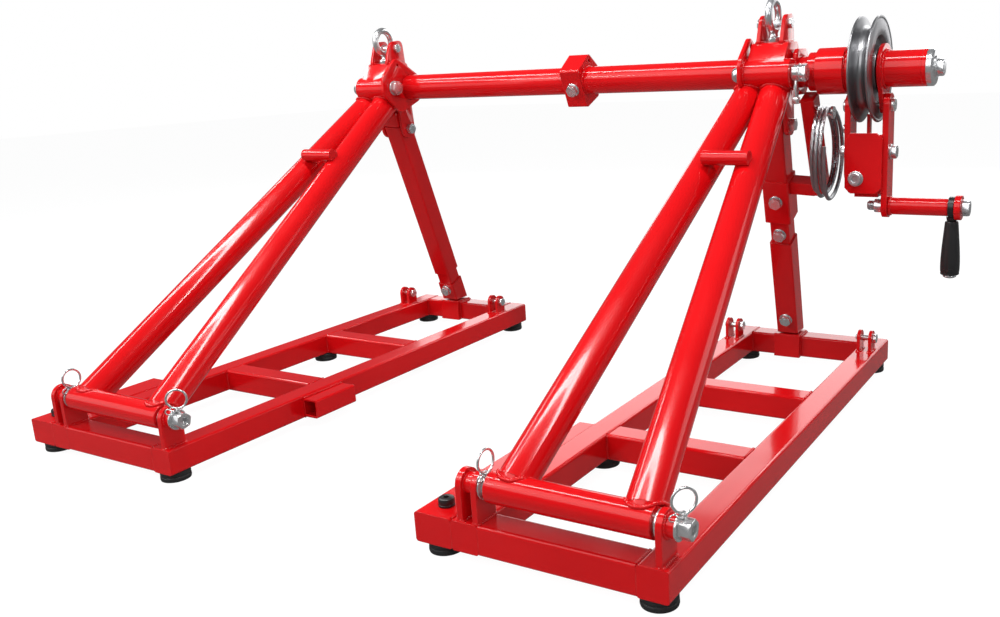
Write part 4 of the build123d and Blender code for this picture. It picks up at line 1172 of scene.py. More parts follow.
@dataclass
class LoosePins:
    """Ring clips with their tether links, and the black locking knobs."""

    finishes: Finishes
    wire: float = 0.0021
    ring: float = 0.018
    shank_low: float = -0.017
    shank_top: float = 0.0217
    ends: tuple[tuple[str, float, float], ...] = (("inner", -0.308, 90.0), ("outer", 0.013, 50.0))
    link_tilts: tuple[float, float] = (20.0, 105.0)
    link_lean: float = 25.0
    link_radius: float = 0.0058
    link_wire: float = 0.0011
    knob_y: float = -0.552

    def build(self) -> None:
        """Build each clip and knob on its own body."""
        for side in Side:
            for end, offset, turn in self.ends:
                self.clip(f"{side.label}_{end}", side.value + offset, turn)
            self.knob(side.label, side.value + S.outrigger_fittings)

    def clip(self, name: str, x: float, turn: float) -> None:
        """A sprung wire ring that crosses itself above a straight shank, with two tether links.

        Args:
            name: side and end of the clip.
            x: its place along the pin.
            turn: its turn about the shank in degrees.
        """
        clip = Bench.once(("clip",), self.ring_clip)
        turned = Matrix.Rotation(math.radians(turn), 4, "Z")
        clip.data.transform(Matrix.Translation((x, S.pivot_y, S.pivot_z)) @ turned)
        group = Fasteners(self.finishes, [clip])
        group.finish(f"{name}_sprung_clip", f"{name}_clip", [f"{name}_ring_clip"])

    def ring_clip(self) -> bpy.types.Object:
        """Model a clip: its bent wire, the collar of its shank and both links.

        Returns:
            The clip, with its shank on the Z axis.
        """
        group = Fasteners(self.finishes)
        top = self.shank_top
        middle = top + self.ring + self.wire * 0.3
        loop = [(0.0016, 0.0, self.shank_low + 0.001), (0.0, 0.0, 0.0), (0.0, 0.0, top - 0.006)]
        for index in range(19):
            angle = math.radians(-80 + index * 20)
            loop.append((self.ring * math.cos(angle), (index - 9) * 0.00024,
                         middle + self.ring * math.sin(angle)))
        loop += [(0.0012, 0.0026, top - 0.004), (0.0036, 0.0022, top - 0.011)]
        group.pieces.append(Bench.wire(loop, self.wire, sides=3, smooth=True))
        group.turned(sleeve(0.0, 0.0040, 0.0050, 0.0004, 0.0006)[:-1], (0.0, 0.0, top - 0.0050), UP, 24)
        for index, tilt in enumerate(self.link_tilts):
            at = (-0.0075 - 0.0085 * index, 0.0, top - 0.0010 - 0.0030 * index)
            turned = (math.radians(tilt), math.radians(self.link_lean), 0.0)
            group.pieces.append(Bench.torus(at, self.link_radius, self.link_wire, (28, 10), turned))
        return Bench.join(group.pieces, "clip")

    def knob(self, name: str, x: float) -> None:
        """A low black cap with a grooved skirt and a recess in its crown.

        Args:
            name: side of the knob.
            x: its place.
        """
        group = Fasteners(self.finishes)
        group.turned([(0.0, 0.0), (0.0124, 0.0), (0.0130, 0.0007), (0.0130, 0.0030), (0.0123, 0.0036),
                      (0.0123, 0.0046), (0.0130, 0.0052), (0.0130, 0.0105), (0.0122, 0.0128),
                      (0.0105, 0.0140), (0.0052, 0.0144), (0.0045, 0.0138), (0.0042, 0.0085),
                      (0.0, 0.0080)],
                     (x, self.knob_y, S.rail_top + 0.0003), UP)
        group.finish(f"{name}_knob_cap", f"{name}_knob", [f"{name}_locking_knob"], Slot.PLASTIC)


@dataclass
class TiltingStands:
    """Welds, bolts and lifting eyes of the two tilting stands."""

    finishes: Finishes
    toe: tuple[tuple[float, float], ...] = (
        (0.0246, 0.0030), (0.0256, 0.0036), (0.0265, 0.0046), (0.0274, 0.0060), (0.0283, 0.0078),
        (0.0290, 0.0098), (0.0295, 0.0118), (0.0299, 0.0140))
    mitre: float = -0.015
    seam_scale: float = 1.2
    collar_wrap: float = 74.0
    ear_seams: tuple[float, ...] = (-0.028, -0.020, 0.020, 0.028)
    ear_run: tuple[float, float] = (0.014, 0.066)
    ear_foot: float = 0.060
    crotch_start: float = 0.018
    crotch_pitch: float = 0.0022
    crotch_points: int = 15
    ear: tuple[float, float] = (0.301, 0.786)
    ear_face: float = 0.028
    eye_y: float = S.head_y + 0.034
    eye_z: float = 0.8018
    eye_radius: float = 0.028
    eye_wire: float = 0.0075
    link_z: float = 0.7792
    link_half: tuple[float, float] = (0.013, 0.0145)
    link_twist: float = 0.0022
    link_wire: float = 0.0016
    link_points: int = 24

    def build(self) -> None:
        """Build all pieces that ride on the tilting stands."""
        self.welds()
        self.leg_ends()
        self.bolts()
        self.eyes()

    @staticmethod
    def leg_axes(face: float) -> list[tuple[Vector, Vector]]:
        """Foot and top of both leg axes of a stand.

        Args:
            face: X of the stand's outer face.

        Returns:
            Foot and top of each leg.
        """
        axes = []
        for foot, top in zip(S.leg_feet, S.leg_tops):
            start = Vector((face + foot, S.pivot_y, S.pivot_z))
            barrel = Vector((face + top, S.head_y, S.spindle_z))
            slope = (barrel - start).normalized()
            axes.append((start, barrel + Vector((0, slope.z, -slope.y)) * S.leg_drop))
        return axes

    def welds(self) -> None:
        """Beads at both ends of the legs, round the heads and between the legs."""
        seams = WeldSeams(self.finishes)
        reach, z = S.cheek - 0.008, S.spindle_z + self.ear_foot
        front, back = (S.head_y + y for y in self.ear_run)
        for side in Side:
            for foot, top in self.leg_axes(side.value):
                seams.toe(foot, top, self.toe, self.seam_scale)
                seams.collar(foot, top, self.collar_wrap, self.seam_scale)
            head = side.head
            seams.circle(head + side.inner * reach, S.head_y, S.spindle_z, S.barrel)
            for x in (head - reach, head + reach):
                seams.circle(x, S.spindle_y, S.spindle_z, S.bearing)
            for x in (head + offset for offset in self.ear_seams):
                seams.line([(x, front, z), (x, back, z)])
            seams.line(self.crotch(side))
        seams.finish("stand_weld_seams", "a_frames", slot=Slot.RED)

    def crotch(self, side: Side) -> list[Vector]:
        """Line down the front and up the back of the seam between the two legs.

        Args:
            side: the stand.

        Returns:
            Points along the seam.
        """
        foot, top = self.leg_axes(side.value)[1]
        direction, _, upward = leg_frame(foot, top)
        length = (top - foot).length
        runs: dict[int, list[Vector]] = {1: [], -1: []}
        for index in range(self.crotch_points):
            centre = foot + direction * (length - self.crotch_start - self.crotch_pitch * index)
            apart = abs(centre.x - (side.head + self.mitre))
            if apart < S.leg_radius:
                middle = Vector((side.head + self.mitre, centre.y, centre.z))
                for way, run in runs.items():
                    run.append(middle + upward * (way * math.sqrt(S.leg_radius ** 2 - apart ** 2)))
        return runs[1] + runs[-1][::-1]

    def leg_ends(self) -> None:
        """Rounded toes that close the ends of the legs onto the thinner pivot tube."""
        group = Fasteners(self.finishes)
        for side in Side:
            for foot, top in self.leg_axes(side.value):
                group.turned([(0.0, self.toe[0][1]), *self.toe, (0.0, self.toe[-1][1])], foot, top - foot)
        group.finish("leg_toes", "a_frames", slot=Slot.RED)

    def bolts(self) -> None:
        """Clamp bolts, ear bolts and strut hinge bolts."""
        group = Fasteners(self.finishes)
        for side in Side:
            head = side.head
            reach = S.cheek + (0.014 if side is Side.RIGHT else 0.0)
            axis = (S.head_y, S.spindle_z)
            group.bolt((head + reach, *axis), X, 0.030, 0.0125, washer=0.0175, turn=0.3)
            group.turned(rod(0.010, reach), (head, *axis), X)
            group.turned([(0.0, 0.0), (0.0185, 0.0), (0.0185, 0.0020), (0.0179, 0.0025), (0.0150, 0.0026),
                          (0.0150, 0.0125), (0.0140, 0.0175), (0.0115, 0.0210), (0.0070, 0.0232),
                          (0.0, 0.0240)], (head - S.cheek, *axis), MINUS_X)
            group.bolt((head + self.ear_face, *self.ear), X, 0.019, 0.0078, turn=0.2)
            group.bolt((head - self.ear_face, *self.ear), MINUS_X, 0.019, 0.0078, turn=0.5)
            group.turned(rod(0.006, 0.060), (head - 0.030, *self.ear), X)
        group.finish("head_fasteners", "a_frames", ["head_bolts"])
        hinge = (S.hinge_y, S.hinge_z)
        for side in Side:
            strut = side.value + S.strut_x
            group.turned(rod(0.008, 0.080), (strut - 0.040, *hinge), X)
            group.bolt((strut + S.yoke, *hinge), X)
            group.bolt((strut - S.yoke, *hinge), MINUS_X, turn=0.4)
        group.finish("strut_hinge_fasteners", "a_frames", ["strut_hinge_bolts"])

    def eyes(self) -> None:
        """Forged lifting eyes with a waisted neck on a collar, and the safety link of the left one."""
        group = Fasteners(self.finishes)
        for side in Side:
            group.turned([(0.0, 0.0), (0.0146, 0.0), (0.015, 0.001), (0.015, 0.0075), (0.0135, 0.0098),
                          (0.0100, 0.0115), (0.0088, 0.0150), (0.0090, 0.0190), (0.0110, 0.0240),
                          (0.0, 0.0265)], (side.head, self.eye_y, 0.750), UP)
            group.pieces.append(Bench.torus((side.head, self.eye_y, self.eye_z), self.eye_radius,
                                            self.eye_wire, (72, 24), (0, math.pi / 2, 0)))
        group.finish("forged_lifting_eyes", "a_frames", ["lifting_eyes"])
        link = []
        half_width, half_height = self.link_half
        for index in range(self.link_points):
            angle = 2 * math.pi * index / self.link_points
            link.append((Side.LEFT.head + self.link_twist * math.sin(2 * angle),
                         self.eye_y + half_width * math.sin(angle),
                         self.link_z + half_height * math.cos(angle)))
        group.pieces.append(Bench.wire(link, self.link_wire, True, sides=3, smooth=True))
        group.finish("eye_safety_link", "a_frames")


@dataclass
class Heads:
    """The welded heads: a cheek on the drum side, a free barrel end and a bearing flange outside."""

    finishes: Finishes
    plate: float = 0.008
    saddle_half: float = 0.038
    ears: float = 0.020
    yoke: float = 0.028
    hinge_half: float = 0.022
    bore: float = 0.0304
    rod_bore: float = 0.0102
    edge: float = 0.0010
    grease_hole: float = 0.004
    cheek: tuple[tuple[float, float], ...] = (
        (-0.038, -0.014), (0.020, -0.062), (0.098, -0.032), (0.098, 0.028), (0.018, 0.074), (-0.038, 0.026))
    flange: tuple[tuple[float, float], ...] = (
        (0.022, -0.030), (0.036, -0.044), (0.084, -0.044), (0.100, -0.026), (0.100, 0.028), (0.086, 0.046),
        (0.034, 0.046), (0.022, 0.034))
    saddle: tuple[tuple[float, float], ...] = (
        (-0.020, 0.018), (0.014, 0.060), (0.070, 0.060), (0.090, 0.018))
    ear: tuple[tuple[float, float], ...] = (
        (0.006, 0.054), (0.028, 0.112), (0.071, 0.116), (0.075, 0.088), (0.080, 0.030))

    def build(self) -> None:
        """Weld each head together from its plates and turned parts."""
        for side in Side:
            group = Fasteners(self.finishes)
            self.plates(group, side)
            self.tubes(group, side)
            group.finish(f"{side.label}_head_weldment", "a_frames", [f"{side.label}_head"], Slot.RED)

    @staticmethod
    def from_barrel(points: Profile) -> Profile:
        """Points measured from the barrel's axis, as (y, z) in the frame."""
        return [(S.head_y + y, S.spindle_z + z) for y, z in points]

    def plates(self, group: Fasteners, side: Side) -> None:
        """Add the cheek, the bearing's flange, the saddle, the ears and the yoke of the strut's hinge.

        Args:
            group: the group that they belong to.
            side: the stand.
        """
        middle, inner = side.head, side.inner
        spindle = (S.spindle_y, S.spindle_z, self.bore)
        hole = (S.head_y + 0.020, S.spindle_z + 0.054, self.grease_hole)
        face = middle + inner * (S.cheek - self.plate)
        plates = [(self.cheek, face, face + inner * self.plate, 0.011, [spindle, hole])]
        face = middle - inner * (S.cheek - self.plate)
        plates.append((self.flange, face, face - inner * self.plate, 0.006, [spindle]))
        plates.append((self.saddle, middle - self.saddle_half, middle + self.saddle_half, 0.005,
                       [spindle], 0.0016))
        low = S.hinge_z - self.hinge_half
        yoke = [*self.from_barrel([(0.038, -0.020)]), (S.hinge_y - self.hinge_half, low),
                (S.hinge_y + self.hinge_half, low), *self.from_barrel([(0.094, -0.020)])]
        for outline, *rest in plates:
            group.pieces.append(Bench.plate(self.from_barrel(outline), *rest))
        for outside in (-1, 1):
            face = middle + outside * self.ears
            ear = self.from_barrel(self.ear)
            group.pieces.append(Bench.plate(ear, face, face + outside * self.plate, 0.013))
            face = side.value + S.strut_x + outside * self.yoke
            group.pieces.append(Bench.plate(yoke, face, face + outside * self.plate, 0.018, [spindle]))

    def tubes(self, group: Fasteners, side: Side) -> None:
        """Add the barrel and the spindle's bearing.

        Args:
            group: the group that they belong to.
            side: the stand.
        """
        length = 2 * S.cheek - self.plate / 2
        start = side.head - side.inner * S.cheek
        group.turned([(self.rod_bore, 0.0), (S.barrel - self.edge, 0.0), (S.barrel, self.edge),
                      (S.barrel, length), (self.rod_bore, length), (self.rod_bore, 0.0)],
                     (start, S.head_y, S.spindle_z), (side.inner, 0, 0), 64)
        group.turned(sleeve(self.bore, S.bearing, 2 * S.cheek - 0.0140, self.edge, self.edge),
                     (side.head - S.cheek + 0.0070, S.spindle_y, S.spindle_z), X, 64)


@dataclass
class ClampLever:
    """Flat drop lever on the right head's clamp bolt."""

    finishes: Finishes
    low_x: float = 0.5037
    high_x: float = 0.5163
    bore: float = 0.0102
    hub: float = 0.0160
    edge: float = 0.0008
    arm_low_z: float = 0.634

    def build(self) -> None:
        """Build the hub, the flat arm and the block at its end."""
        group = Fasteners(self.finishes)
        group.turned(sleeve(self.bore, self.hub, self.high_x - self.low_x, self.edge, self.edge),
                     (self.low_x, S.head_y, S.spindle_z), X)
        for inset, half, low, high, edge in ((0.003, 0.0068, self.arm_low_z, S.spindle_z - 0.0125, 0.0016),
                                             (0.0, 0.0085, 0.6305, 0.6435, 0.0018)):
            group.pieces.append(Bench.block((self.low_x + inset, S.head_y - half, low),
                                            (self.high_x - inset, S.head_y + half, high), edge))
        group.finish("flat_clamp_lever", "clamp_lever_body", ["clamp_lever"])


@dataclass
class Struts:
    """Bolts, closed tops and coil peg of the telescoping struts."""

    finishes: Finishes
    half: float = 0.0238
    top_low: float = 0.0152
    top_high: float = 0.0560
    peg_x: float = 0.533

    @staticmethod
    def axes(side: Side) -> tuple[Vector, Vector, Vector]:
        """A strut's hinge, its direction down to the foot and the direction across it.

        Args:
            side: the stand.

        Returns:
            The hinge, the direction down and the direction across.
        """
        down = Vector((S.strut_foot_x - S.strut_x, S.strut_run, -S.strut_rise)).normalized()
        across = (Vector(X) - down * down.x).normalized()
        return Vector((side.value + S.strut_x, S.hinge_y, S.hinge_z)), down, across

    def bolt(self, group: Fasteners, side: Side, distance: float, offset: float, turn: float = 0.0) -> None:
        """Add a bolt on the front of a strut.

        Args:
            group: the group that it belongs to.
            side: the stand.
            distance: distance from the hinge down the strut.
            offset: distance of the surface from the strut's axis.
            turn: rotation of the head.
        """
        hinge, down, across = self.axes(side)
        outward = down.cross(across)
        place = hinge + down * distance + outward * offset
        group.bolt(place, outward, washer=S.m16_washer, turn=turn)

    def build(self) -> None:
        """Build the bolts of both struts, the coil peg and the closed tops."""
        group = Fasteners(self.finishes)
        self.bolt(group, Side.LEFT, 0.50895, 0.025)
        group.finish("left_strut_lock_bolt", "left_strut_lower_body", ["left_strut_bolt"])
        self.bolt(group, Side.RIGHT, 0.50095, 0.025, 0.2)
        self.bolt(group, Side.RIGHT, 0.262, 0.0215, 0.5)
        group.finish("right_strut_lock_bolts", "right_strut_lower_body", ["right_strut_bolts"])
        self.bolt(group, Side.RIGHT, 0.172, 0.029, 0.1)
        group.turned([(0.0, 0.0), (0.008, 0.0), (0.008, 0.028), (0.0125, 0.028), (0.013, 0.0286),
                      (0.013, 0.0322), (0.0120, 0.0330), (0.0, 0.0330)],
                     (self.peg_x, RopeCoil.peg_y, RopeCoil.peg_z), X)
        group.finish("right_sleeve_fasteners", "right_strut_upper_body", ["right_strut_upper_bolts"])
        for side in Side:
            self.top(side)

    def top(self, side: Side) -> None:
        """Closed end that fills a strut's tube above its hinge, between the plates of the yoke.

        Args:
            side: the stand.
        """
        hinge, down, across = self.axes(side)
        turn = Matrix((across, across.cross(down), -down)).transposed().to_4x4()
        block = Bench.block((-self.half, -self.half, self.top_low), (self.half, self.half, self.top_high),
                            0.0040)
        block.data.transform(Matrix.Translation(hinge) @ turn)
        group = Fasteners(self.finishes, [block])
        group.finish(f"{side.label}_strut_top", f"{side.label}_strut_upper_body", slot=Slot.RED)


@dataclass
class RopeCoil:
    """Loose coil of wire rope that hangs on its peg."""

    finishes: Finishes
    lays: float = 52.0
    strands: float = 3.0
    peg_y: float = 0.3244
    peg_z: float = 0.609
    peg_radius: float = 0.008
    diameter: float = 0.008
    turns: float = 3.3
    points_per_turn: int = 14
    pitch: float = 0.0084
    first_x: float = 0.5338
    front_lean: float = 0.13
    radii: tuple[float, ...] = (0.0865, 0.0915, 0.0880, 0.0940, 0.0900)

    def route(self) -> list[Vector]:
        """Centre line of the rope, from the bottom round to the front, resting on the peg.

        Returns:
            Points along the rope.
        """
        points = []
        top = self.peg_z + self.peg_radius + self.diameter / 2 + 0.0005
        for index in range(round(self.turns * self.points_per_turn) + 1):
            share = index / self.points_per_turn
            turn = int(share)
            part = share - turn
            blend = part * part * (3 - 2 * part)
            radius = self.radii[turn] + (self.radii[turn + 1] - self.radii[turn]) * blend
            angle = -math.pi / 2 - 2 * math.pi * share
            lean = self.front_lean * max(0.0, -math.cos(angle)) * radius
            points.append(Vector((self.first_x + self.pitch * share + lean,
                                  self.peg_y + radius * math.cos(angle),
                                  top - radius + radius * math.sin(angle))))
        return points

    def build(self) -> None:
        points = self.route()
        rope, _ = Bench.curve("hanging_wire_rope", points, self.diameter / 2, 4, True)
        rope.data.resolution_u = 8
        self.finishes.dress(rope, Slot.ROPE)
        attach(rope, "right_strut_upper_body")
        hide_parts("wire_rope_coil")


@dataclass
class Sheave:
    """The turned rope wheel, with rolled rims, a recessed web and a groove with tool steps."""

    finishes: Finishes
    start: float = 0.619
    half: float = 0.0195
    half_profile: tuple[tuple[float, float], ...] = (
        (0.0303, -0.0195), (0.0415, -0.0195), (0.0430, -0.0185), (0.0445, -0.0090), (0.0470, -0.0072),
        (0.0575, -0.0072), (0.0602, -0.0085), (0.0640, -0.0186), (0.0655, -0.0195), (0.0905, -0.0195),
        (0.0918, -0.0188), (0.0955, -0.0188), (0.0968, -0.0195), (0.0992, -0.0195), (0.1004, -0.0190),
        (0.1010, -0.0178), (0.1008, -0.0162), (0.0990, -0.0148), (0.0955, -0.0136), (0.0915, -0.0125),
        (0.0880, -0.0114), (0.0850, -0.0101), (0.0824, -0.0084), (0.0803, -0.0062), (0.0788, -0.0036),
        (0.0781, -0.0012))

    def build(self) -> None:
        """Turn the wheel from one profile and let it run on the spindle."""
        mirrored = tuple((radius, -x) for radius, x in reversed(self.half_profile))
        profile = [(radius, x + self.half) for radius, x in self.half_profile + mirrored]
        group = Fasteners(self.finishes)
        group.turned([*profile, profile[0]], (self.start, S.spindle_y, S.spindle_z), X, 128)
        group.finish("turned_rope_wheel", "sheave_body", ["sheave"], Slot.TURNED)


@dataclass
class Spindle:
    """Welds, bolts and end cap of the spindle."""

    finishes: Finishes
    cap: float = 0.035
    pin: float = 0.0275
    seams: tuple[tuple[float, float], ...] = (
        (-0.043, S.spindle), (0.007, S.spindle), (0.522, S.spindle), (0.540, 0.038), (0.595, 0.038),
        (0.608, 0.038), (0.669, 0.035))
    collar_bolt: Point = (-0.018, 0.286, 0.671)
    collar_outward: Point = (0.0, -0.924, -0.383)

    def build(self) -> None:
        """Build what turns with the spindle."""
        seams = WeldSeams(self.finishes)
        axis = (S.spindle_y, S.spindle_z)
        for x, radius in self.seams:
            seams.circle(x, *axis, radius)
        seams.finish("spindle_weld_seams", "spindle", slot=Slot.RED)
        group = Fasteners(self.finishes)
        group.bolt(self.collar_bolt, self.collar_outward, washer=S.m16_washer, turn=0.3)
        group.finish("collar_lock_bolt", "spindle", ["collar_bolt"])
        group.turned([(0.0, 0.0), (0.0346, 0.0), (self.cap, 0.0004), (self.cap, 0.0095), (0.0318, 0.0125),
                      (0.0290, 0.0130), (0.0, 0.0130)], (0.748, *axis), X, 72)
        group.bolt((0.761, *axis), X, 0.030, 0.0125, washer=0.022, turn=0.35)
        group.finish("end_cap_and_bolt", "spindle", ["spindle_end_cap"])
        group.turned(button(self.cap, 0.0079, 0.0004, 0.0002), (0.740, *axis), X, 72)
        group.finish("painted_end_ring", "spindle", ["spindle_end_cap"], Slot.RED)
        for x, outward in ((0.5956, MINUS_X), (0.6814, X)):
            group.turned([(0.0, 0.0), (0.0125, 0.0), (0.013, 0.0006), (0.013, 0.0052), (0.0112, 0.0068),
                          (0.0, 0.0068)], (x, S.spindle_y, S.fork_pin_z), outward)
            inside = (x - self.pin * outward[0], S.spindle_y, S.fork_pin_z)
            group.turned(rod(0.007, self.pin), inside, outward)
        group.finish("turned_fork_pins", "spindle", ["fork_pins"])


@dataclass
class WindingCrank:
    """Bolts, tube, handle and grip of the winding crank."""

    finishes: Finishes
    bar_start: float = 0.6815
    bar_end: float = 0.794
    eye_x: float = 0.800
    fork_left: float = 0.596
    fork_right: float = 0.681
    fork_seams_x: tuple[float, float] = (0.6075, 0.6695)
    fork_seams_y: tuple[float, float] = (0.292, 0.338)
    fork_seams_z: tuple[float, float] = (0.454, 0.565)
    cover_screw: Point = (0.62175, 0.284, 0.482)
    bolt_z: float = 0.532
    eye_bore: float = 0.0103
    grip_bore: float = 0.0063

    def build(self) -> None:
        """Build the crank's fasteners, bar, handle and grip."""
        self.fork_fasteners()
        self.bar()
        self.handle()

    def fork_fasteners(self) -> None:
        """Side bolts, stop button and the cover's socket screw, and the fork's welds."""
        group = Fasteners(self.finishes)
        group.bolt((self.fork_right, S.spindle_y, self.bolt_z), X, washer=S.m16_washer, turn=0.25)
        group.bolt((self.fork_left, S.spindle_y, self.bolt_z), MINUS_X, washer=S.m16_washer)
        group.turned(button(0.009, 0.008, 0.0012, 0.0015), (self.fork_left, S.spindle_y, 0.577), MINUS_X)
        group.turned(button(0.015, 0.0025, 0.0006, 0.0005), self.cover_screw, FRONT)
        group.turned([(0.0, 0.0024), (0.0122, 0.0025), (0.0125, 0.0030), (0.0125, 0.0102), (0.0112, 0.0115),
                      (0.0072, 0.0115), (0.0066, 0.0108), (0.0066, 0.0070), (0.0, 0.0070)],
                     self.cover_screw, FRONT)
        group.finish("crank_unit_fasteners", "crank_unit", ["crank_bolts"])
        seams = WeldSeams(self.finishes)
        low, high = self.fork_seams_z
        for x in self.fork_seams_x:
            for y in self.fork_seams_y:
                seams.line([(x, y, low), (x, y, high)], scale=0.9)
        seams.finish("crank_unit_weld_seams", "crank_unit", slot=Slot.RED)

    def bar(self) -> None:
        """Painted tube and end lug, with zinc core, thread and nuts."""
        axis = (S.spindle_y, S.crank_z)
        painted, steel = Fasteners(self.finishes), Fasteners(self.finishes)
        length = self.bar_end - self.bar_start
        painted.turned([(0.0, 0.0), (0.0188, 0.0), (0.0192, 0.0010), (0.0192, 0.0040), (0.0170, 0.0052),
                        (0.0170, length - 0.003), (0.0164, length), (0.0, length)],
                       (self.bar_start, *axis), X, 56)
        painted.turned([(0.0, 0.0), (0.0234, 0.0), (0.024, 0.0008), (0.024, 0.0112), (0.0230, 0.012),
                        (0.0, 0.012)], (0.806, *axis), X, 56)
        painted.finish("crank_tube_and_lug", "crank_bar_body", ["crank_bar"], Slot.RED)
        steel.bolt((0.818, *axis), X, 0.028, 0.0142, turn=0.3)
        steel.pieces.append(Bench.place(Bench.hexagon(0.026, 0.0155, 0.0022), (0.669, *axis), MINUS_X))
        steel.thread((0.653, *axis), MINUS_X, 0.010, 0.0138)
        for x in (0.669, 0.7937):
            steel.turned(rod(0.010, 0.0125), (x, *axis), X, 32)
        steel.finish("crank_bar_steel", "crank_bar_body")

    def handle(self) -> None:
        """Black eye and rod with a zinc cap, and the ribbed tapered grip."""
        group = Fasteners(self.finishes)
        group.turned(sleeve(self.eye_bore, 0.021, 0.011, 0.0006, 0.0007),
                     (0.7945, S.spindle_y, S.crank_z), X, 56)
        group.turned([(0.0, 0.0), (0.0105, 0.0), (0.0095, 0.006), (0.0070, 0.010), (0.006, 0.018),
                      (0.0, 0.018)], (self.eye_x, S.spindle_y, S.crank_z - 0.018), DOWN)
        group.finish("handle_eye", "handle", slot=Slot.PLASTIC)
        group.turned([(0.0, 0.0), (0.006, 0.0), (0.006, 0.1080), (0.0120, 0.1082), (0.0125, 0.1090),
                      (0.0125, 0.1118), (0.0085, 0.1140), (0.0, 0.1142)],
                     (self.eye_x, S.spindle_y, S.crank_z - 0.0234), DOWN)
        group.finish("handle_rod_and_cap", "handle", ["handle_rod"])
        profile = [(self.grip_bore, 0.0), (0.0160, 0.0), (0.0172, 0.0010), (0.0176, 0.0026),
                   (0.0172, 0.0040), (0.0172, 0.0052), (0.0177, 0.0062), (0.0181, 0.0120),
                   (0.0182, 0.0220), (0.0178, 0.0350), (0.0168, 0.0520), (0.0155, 0.0680),
                   (0.0142, 0.0830), (0.0132, 0.0950), (0.0126, 0.1010), (0.0120, 0.1040),
                   (0.0108, 0.1050), (self.grip_bore, 0.1050), (self.grip_bore, 0.0)]
        group.turned(profile, (self.eye_x, S.spindle_y, 0.2950), UP, 56)
        group.finish("ribbed_hand_grip", "grip", ["handle_grip"], Slot.PLASTIC)


# Studio
LAMPS = (
    ("key_box", (-0.5, -2.6, 2.3), 3.6, 2.2, 56.0),
    ("top_strip", (0.1, -0.55, 2.9), 5.6, 0.20, 108.0),
    ("leg_strip", (-2.2, -0.9, 2.1), 3.6, 0.14, 30.0),
    ("left_card", (-2.8, -2.3, 1.0), 1.6, 1.3, 8.0),
    ("right_card", (3.0, 1.9, 1.3), 1.3, 1.6, 11.0),
    ("fill_box", (3.0, -1.7, 1.7), 0.5, 1.2, 13.0),
    ("rear_box", (0.8, 3.4, 2.4), 2.0, 0.6, 24.0),
    ("rear_card", (-0.6, 4.2, 1.5), 6.0, 1.8, 64.0),
)


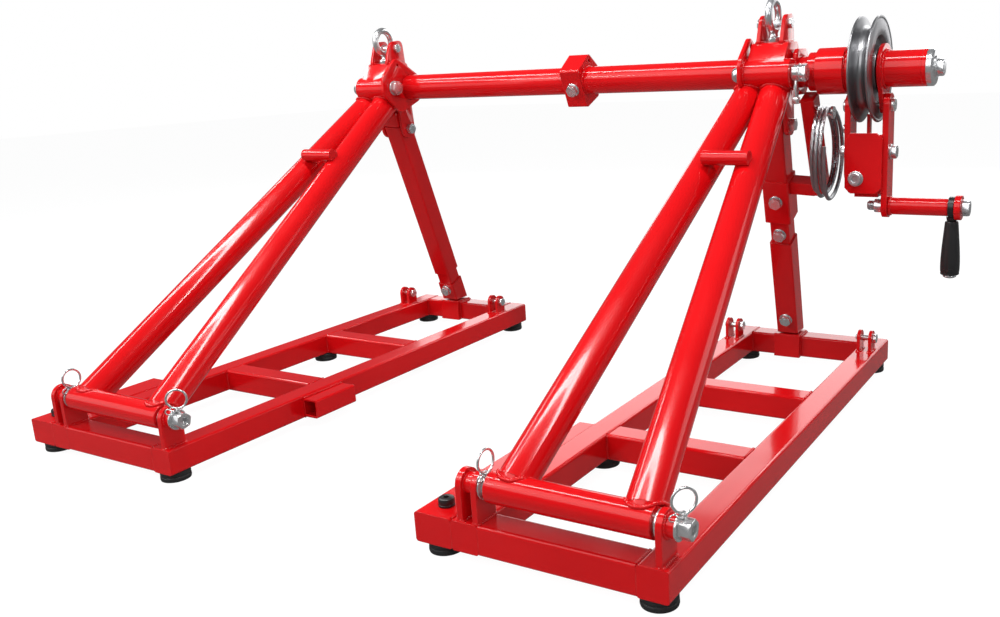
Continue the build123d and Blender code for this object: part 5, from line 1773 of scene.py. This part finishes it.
@dataclass
class Studio:
    """Floor, background, soft lamps and the camera."""

    lamp_target: Point = (0.1, 0.0, 0.35)
    focal: float = 970.6
    centre: tuple[float, float] = (591.3, 302.6)
    photo: tuple[float, float] = (1000.0, 617.0)
    turns: Point = (30.74, 13.79, -2.75)
    sensor: float = 36.0
    eye: Point = (Side.RIGHT.value + 0.51832, -0.590 - 1.03765, 0.7251)

    def build(self) -> None:
        """Set up everything round the object."""
        self.world()
        self.floor()
        self.lamps()
        self.camera()

    @staticmethod
    def world() -> None:
        """Pale world that is plain white to the camera and dimmer in reflections."""
        world = bpy.data.worlds.new("studio")
        bpy.context.scene.world = world
        sheet = NodeSheet.fresh(world)
        path = sheet.node("ShaderNodeLightPath").outputs
        soft, dark, white = (
            sheet.node("ShaderNodeBackground", {"Color": color, "Strength": strength}).outputs[0]
            for color, strength in (((0.95, 0.97, 1.0, 1.0), 0.20), ((0.90, 0.94, 1.0, 1.0), 0.13),
                                    (WHITE, 1.0)))
        seen = sheet.math("MAXIMUM", path["Is Camera Ray"], path["Is Transmission Ray"])
        around = sheet.blend(path["Is Glossy Ray"], soft, dark)
        sheet.node("ShaderNodeOutputWorld", {"Surface": sheet.blend(seen, around, white)})

    @staticmethod
    def floor() -> None:
        """Pale floor that keeps a soft shadow and fades to white."""
        Bench.clear()
        bpy.ops.mesh.primitive_plane_add(size=30.0, location=(0, 0, -0.0002))
        floor = bpy.context.object
        floor.name = "studio_floor"
        material = bpy.data.materials.new("studio_floor")
        sheet = NodeSheet.fresh(material)
        path = sheet.node("ShaderNodeLightPath").outputs
        matt = sheet.node("ShaderNodeBsdfDiffuse", {"Color": (0.48, 0.48, 0.48, 1.0)}).outputs[0]
        mirrored, glow = (
            sheet.node("ShaderNodeEmission", {"Color": WHITE, "Strength": strength}).outputs[0]
            for strength in (0.20, 1.20))
        below = sheet.blend(path["Is Glossy Ray"], matt, mirrored)
        seen = sheet.math("MULTIPLY", path["Is Camera Ray"], 0.80)
        sheet.node("ShaderNodeOutputMaterial", {"Surface": sheet.blend(seen, below, glow)})
        floor.data.materials.append(material)

    def lamps(self) -> None:
        """Soft boxes, strips and cards from the front, above, both sides and behind."""
        target = Vector(self.lamp_target)
        for name, at, width, height, power in LAMPS:
            light = bpy.data.lights.new(name, "AREA")
            light.shape = "RECTANGLE"
            light.size = width
            light.size_y = height
            light.energy = power
            lamp = bpy.data.objects.new(name, light)
            lamp.location = at
            lamp.rotation_euler = (target - Vector(at)).to_track_quat("-Z", "Y").to_euler()
            bpy.context.scene.collection.objects.link(lamp)

    def camera(self) -> None:
        """Camera at the photograph's place, for a frame of its size."""
        yaw, pitch, roll = (math.radians(angle) for angle in self.turns)
        forward = Vector((-math.sin(yaw) * math.cos(pitch), math.cos(yaw) * math.cos(pitch),
                          -math.sin(pitch)))
        level = Vector((math.cos(yaw), math.sin(yaw), 0.0))
        above = level.cross(forward)
        right = level * math.cos(roll) + above * math.sin(roll)
        upward = above * math.cos(roll) - level * math.sin(roll)
        width, height = self.photo
        data = bpy.data.cameras.new("photo_camera")
        data.sensor_fit = "HORIZONTAL"
        data.sensor_width = self.sensor
        data.lens = self.focal * self.sensor / width
        data.shift_x = (width / 2 - self.centre[0]) / width
        data.shift_y = (self.centre[1] - height / 2) / width
        data.clip_start = 0.05
        camera = bpy.data.objects.new("photo_camera", data)
        turn = Matrix((right, upward, -forward)).transposed().to_4x4()
        camera.matrix_world = Matrix.Translation(Vector(self.eye)) @ turn
        bpy.context.scene.collection.objects.link(camera)
        bpy.context.scene.camera = camera
        bpy.context.scene.view_settings.view_transform = "Standard"


def main() -> None:
    """Build the dressed model in order."""
    logging.basicConfig(level=logging.INFO, format="%(message)s")
    finishes = Finishes()
    finishes.dress_nodes()
    for assembly in (BaseFrames, LoosePins, TiltingStands, Heads, ClampLever, Struts, RopeCoil,
                     Spindle, Sheave, WindingCrank):
        assembly(finishes).build()
        LOG.info("built %s", assembly.__name__)
    Bench.put_away()
    Studio().build()


if __name__ == "__main__":
    main()
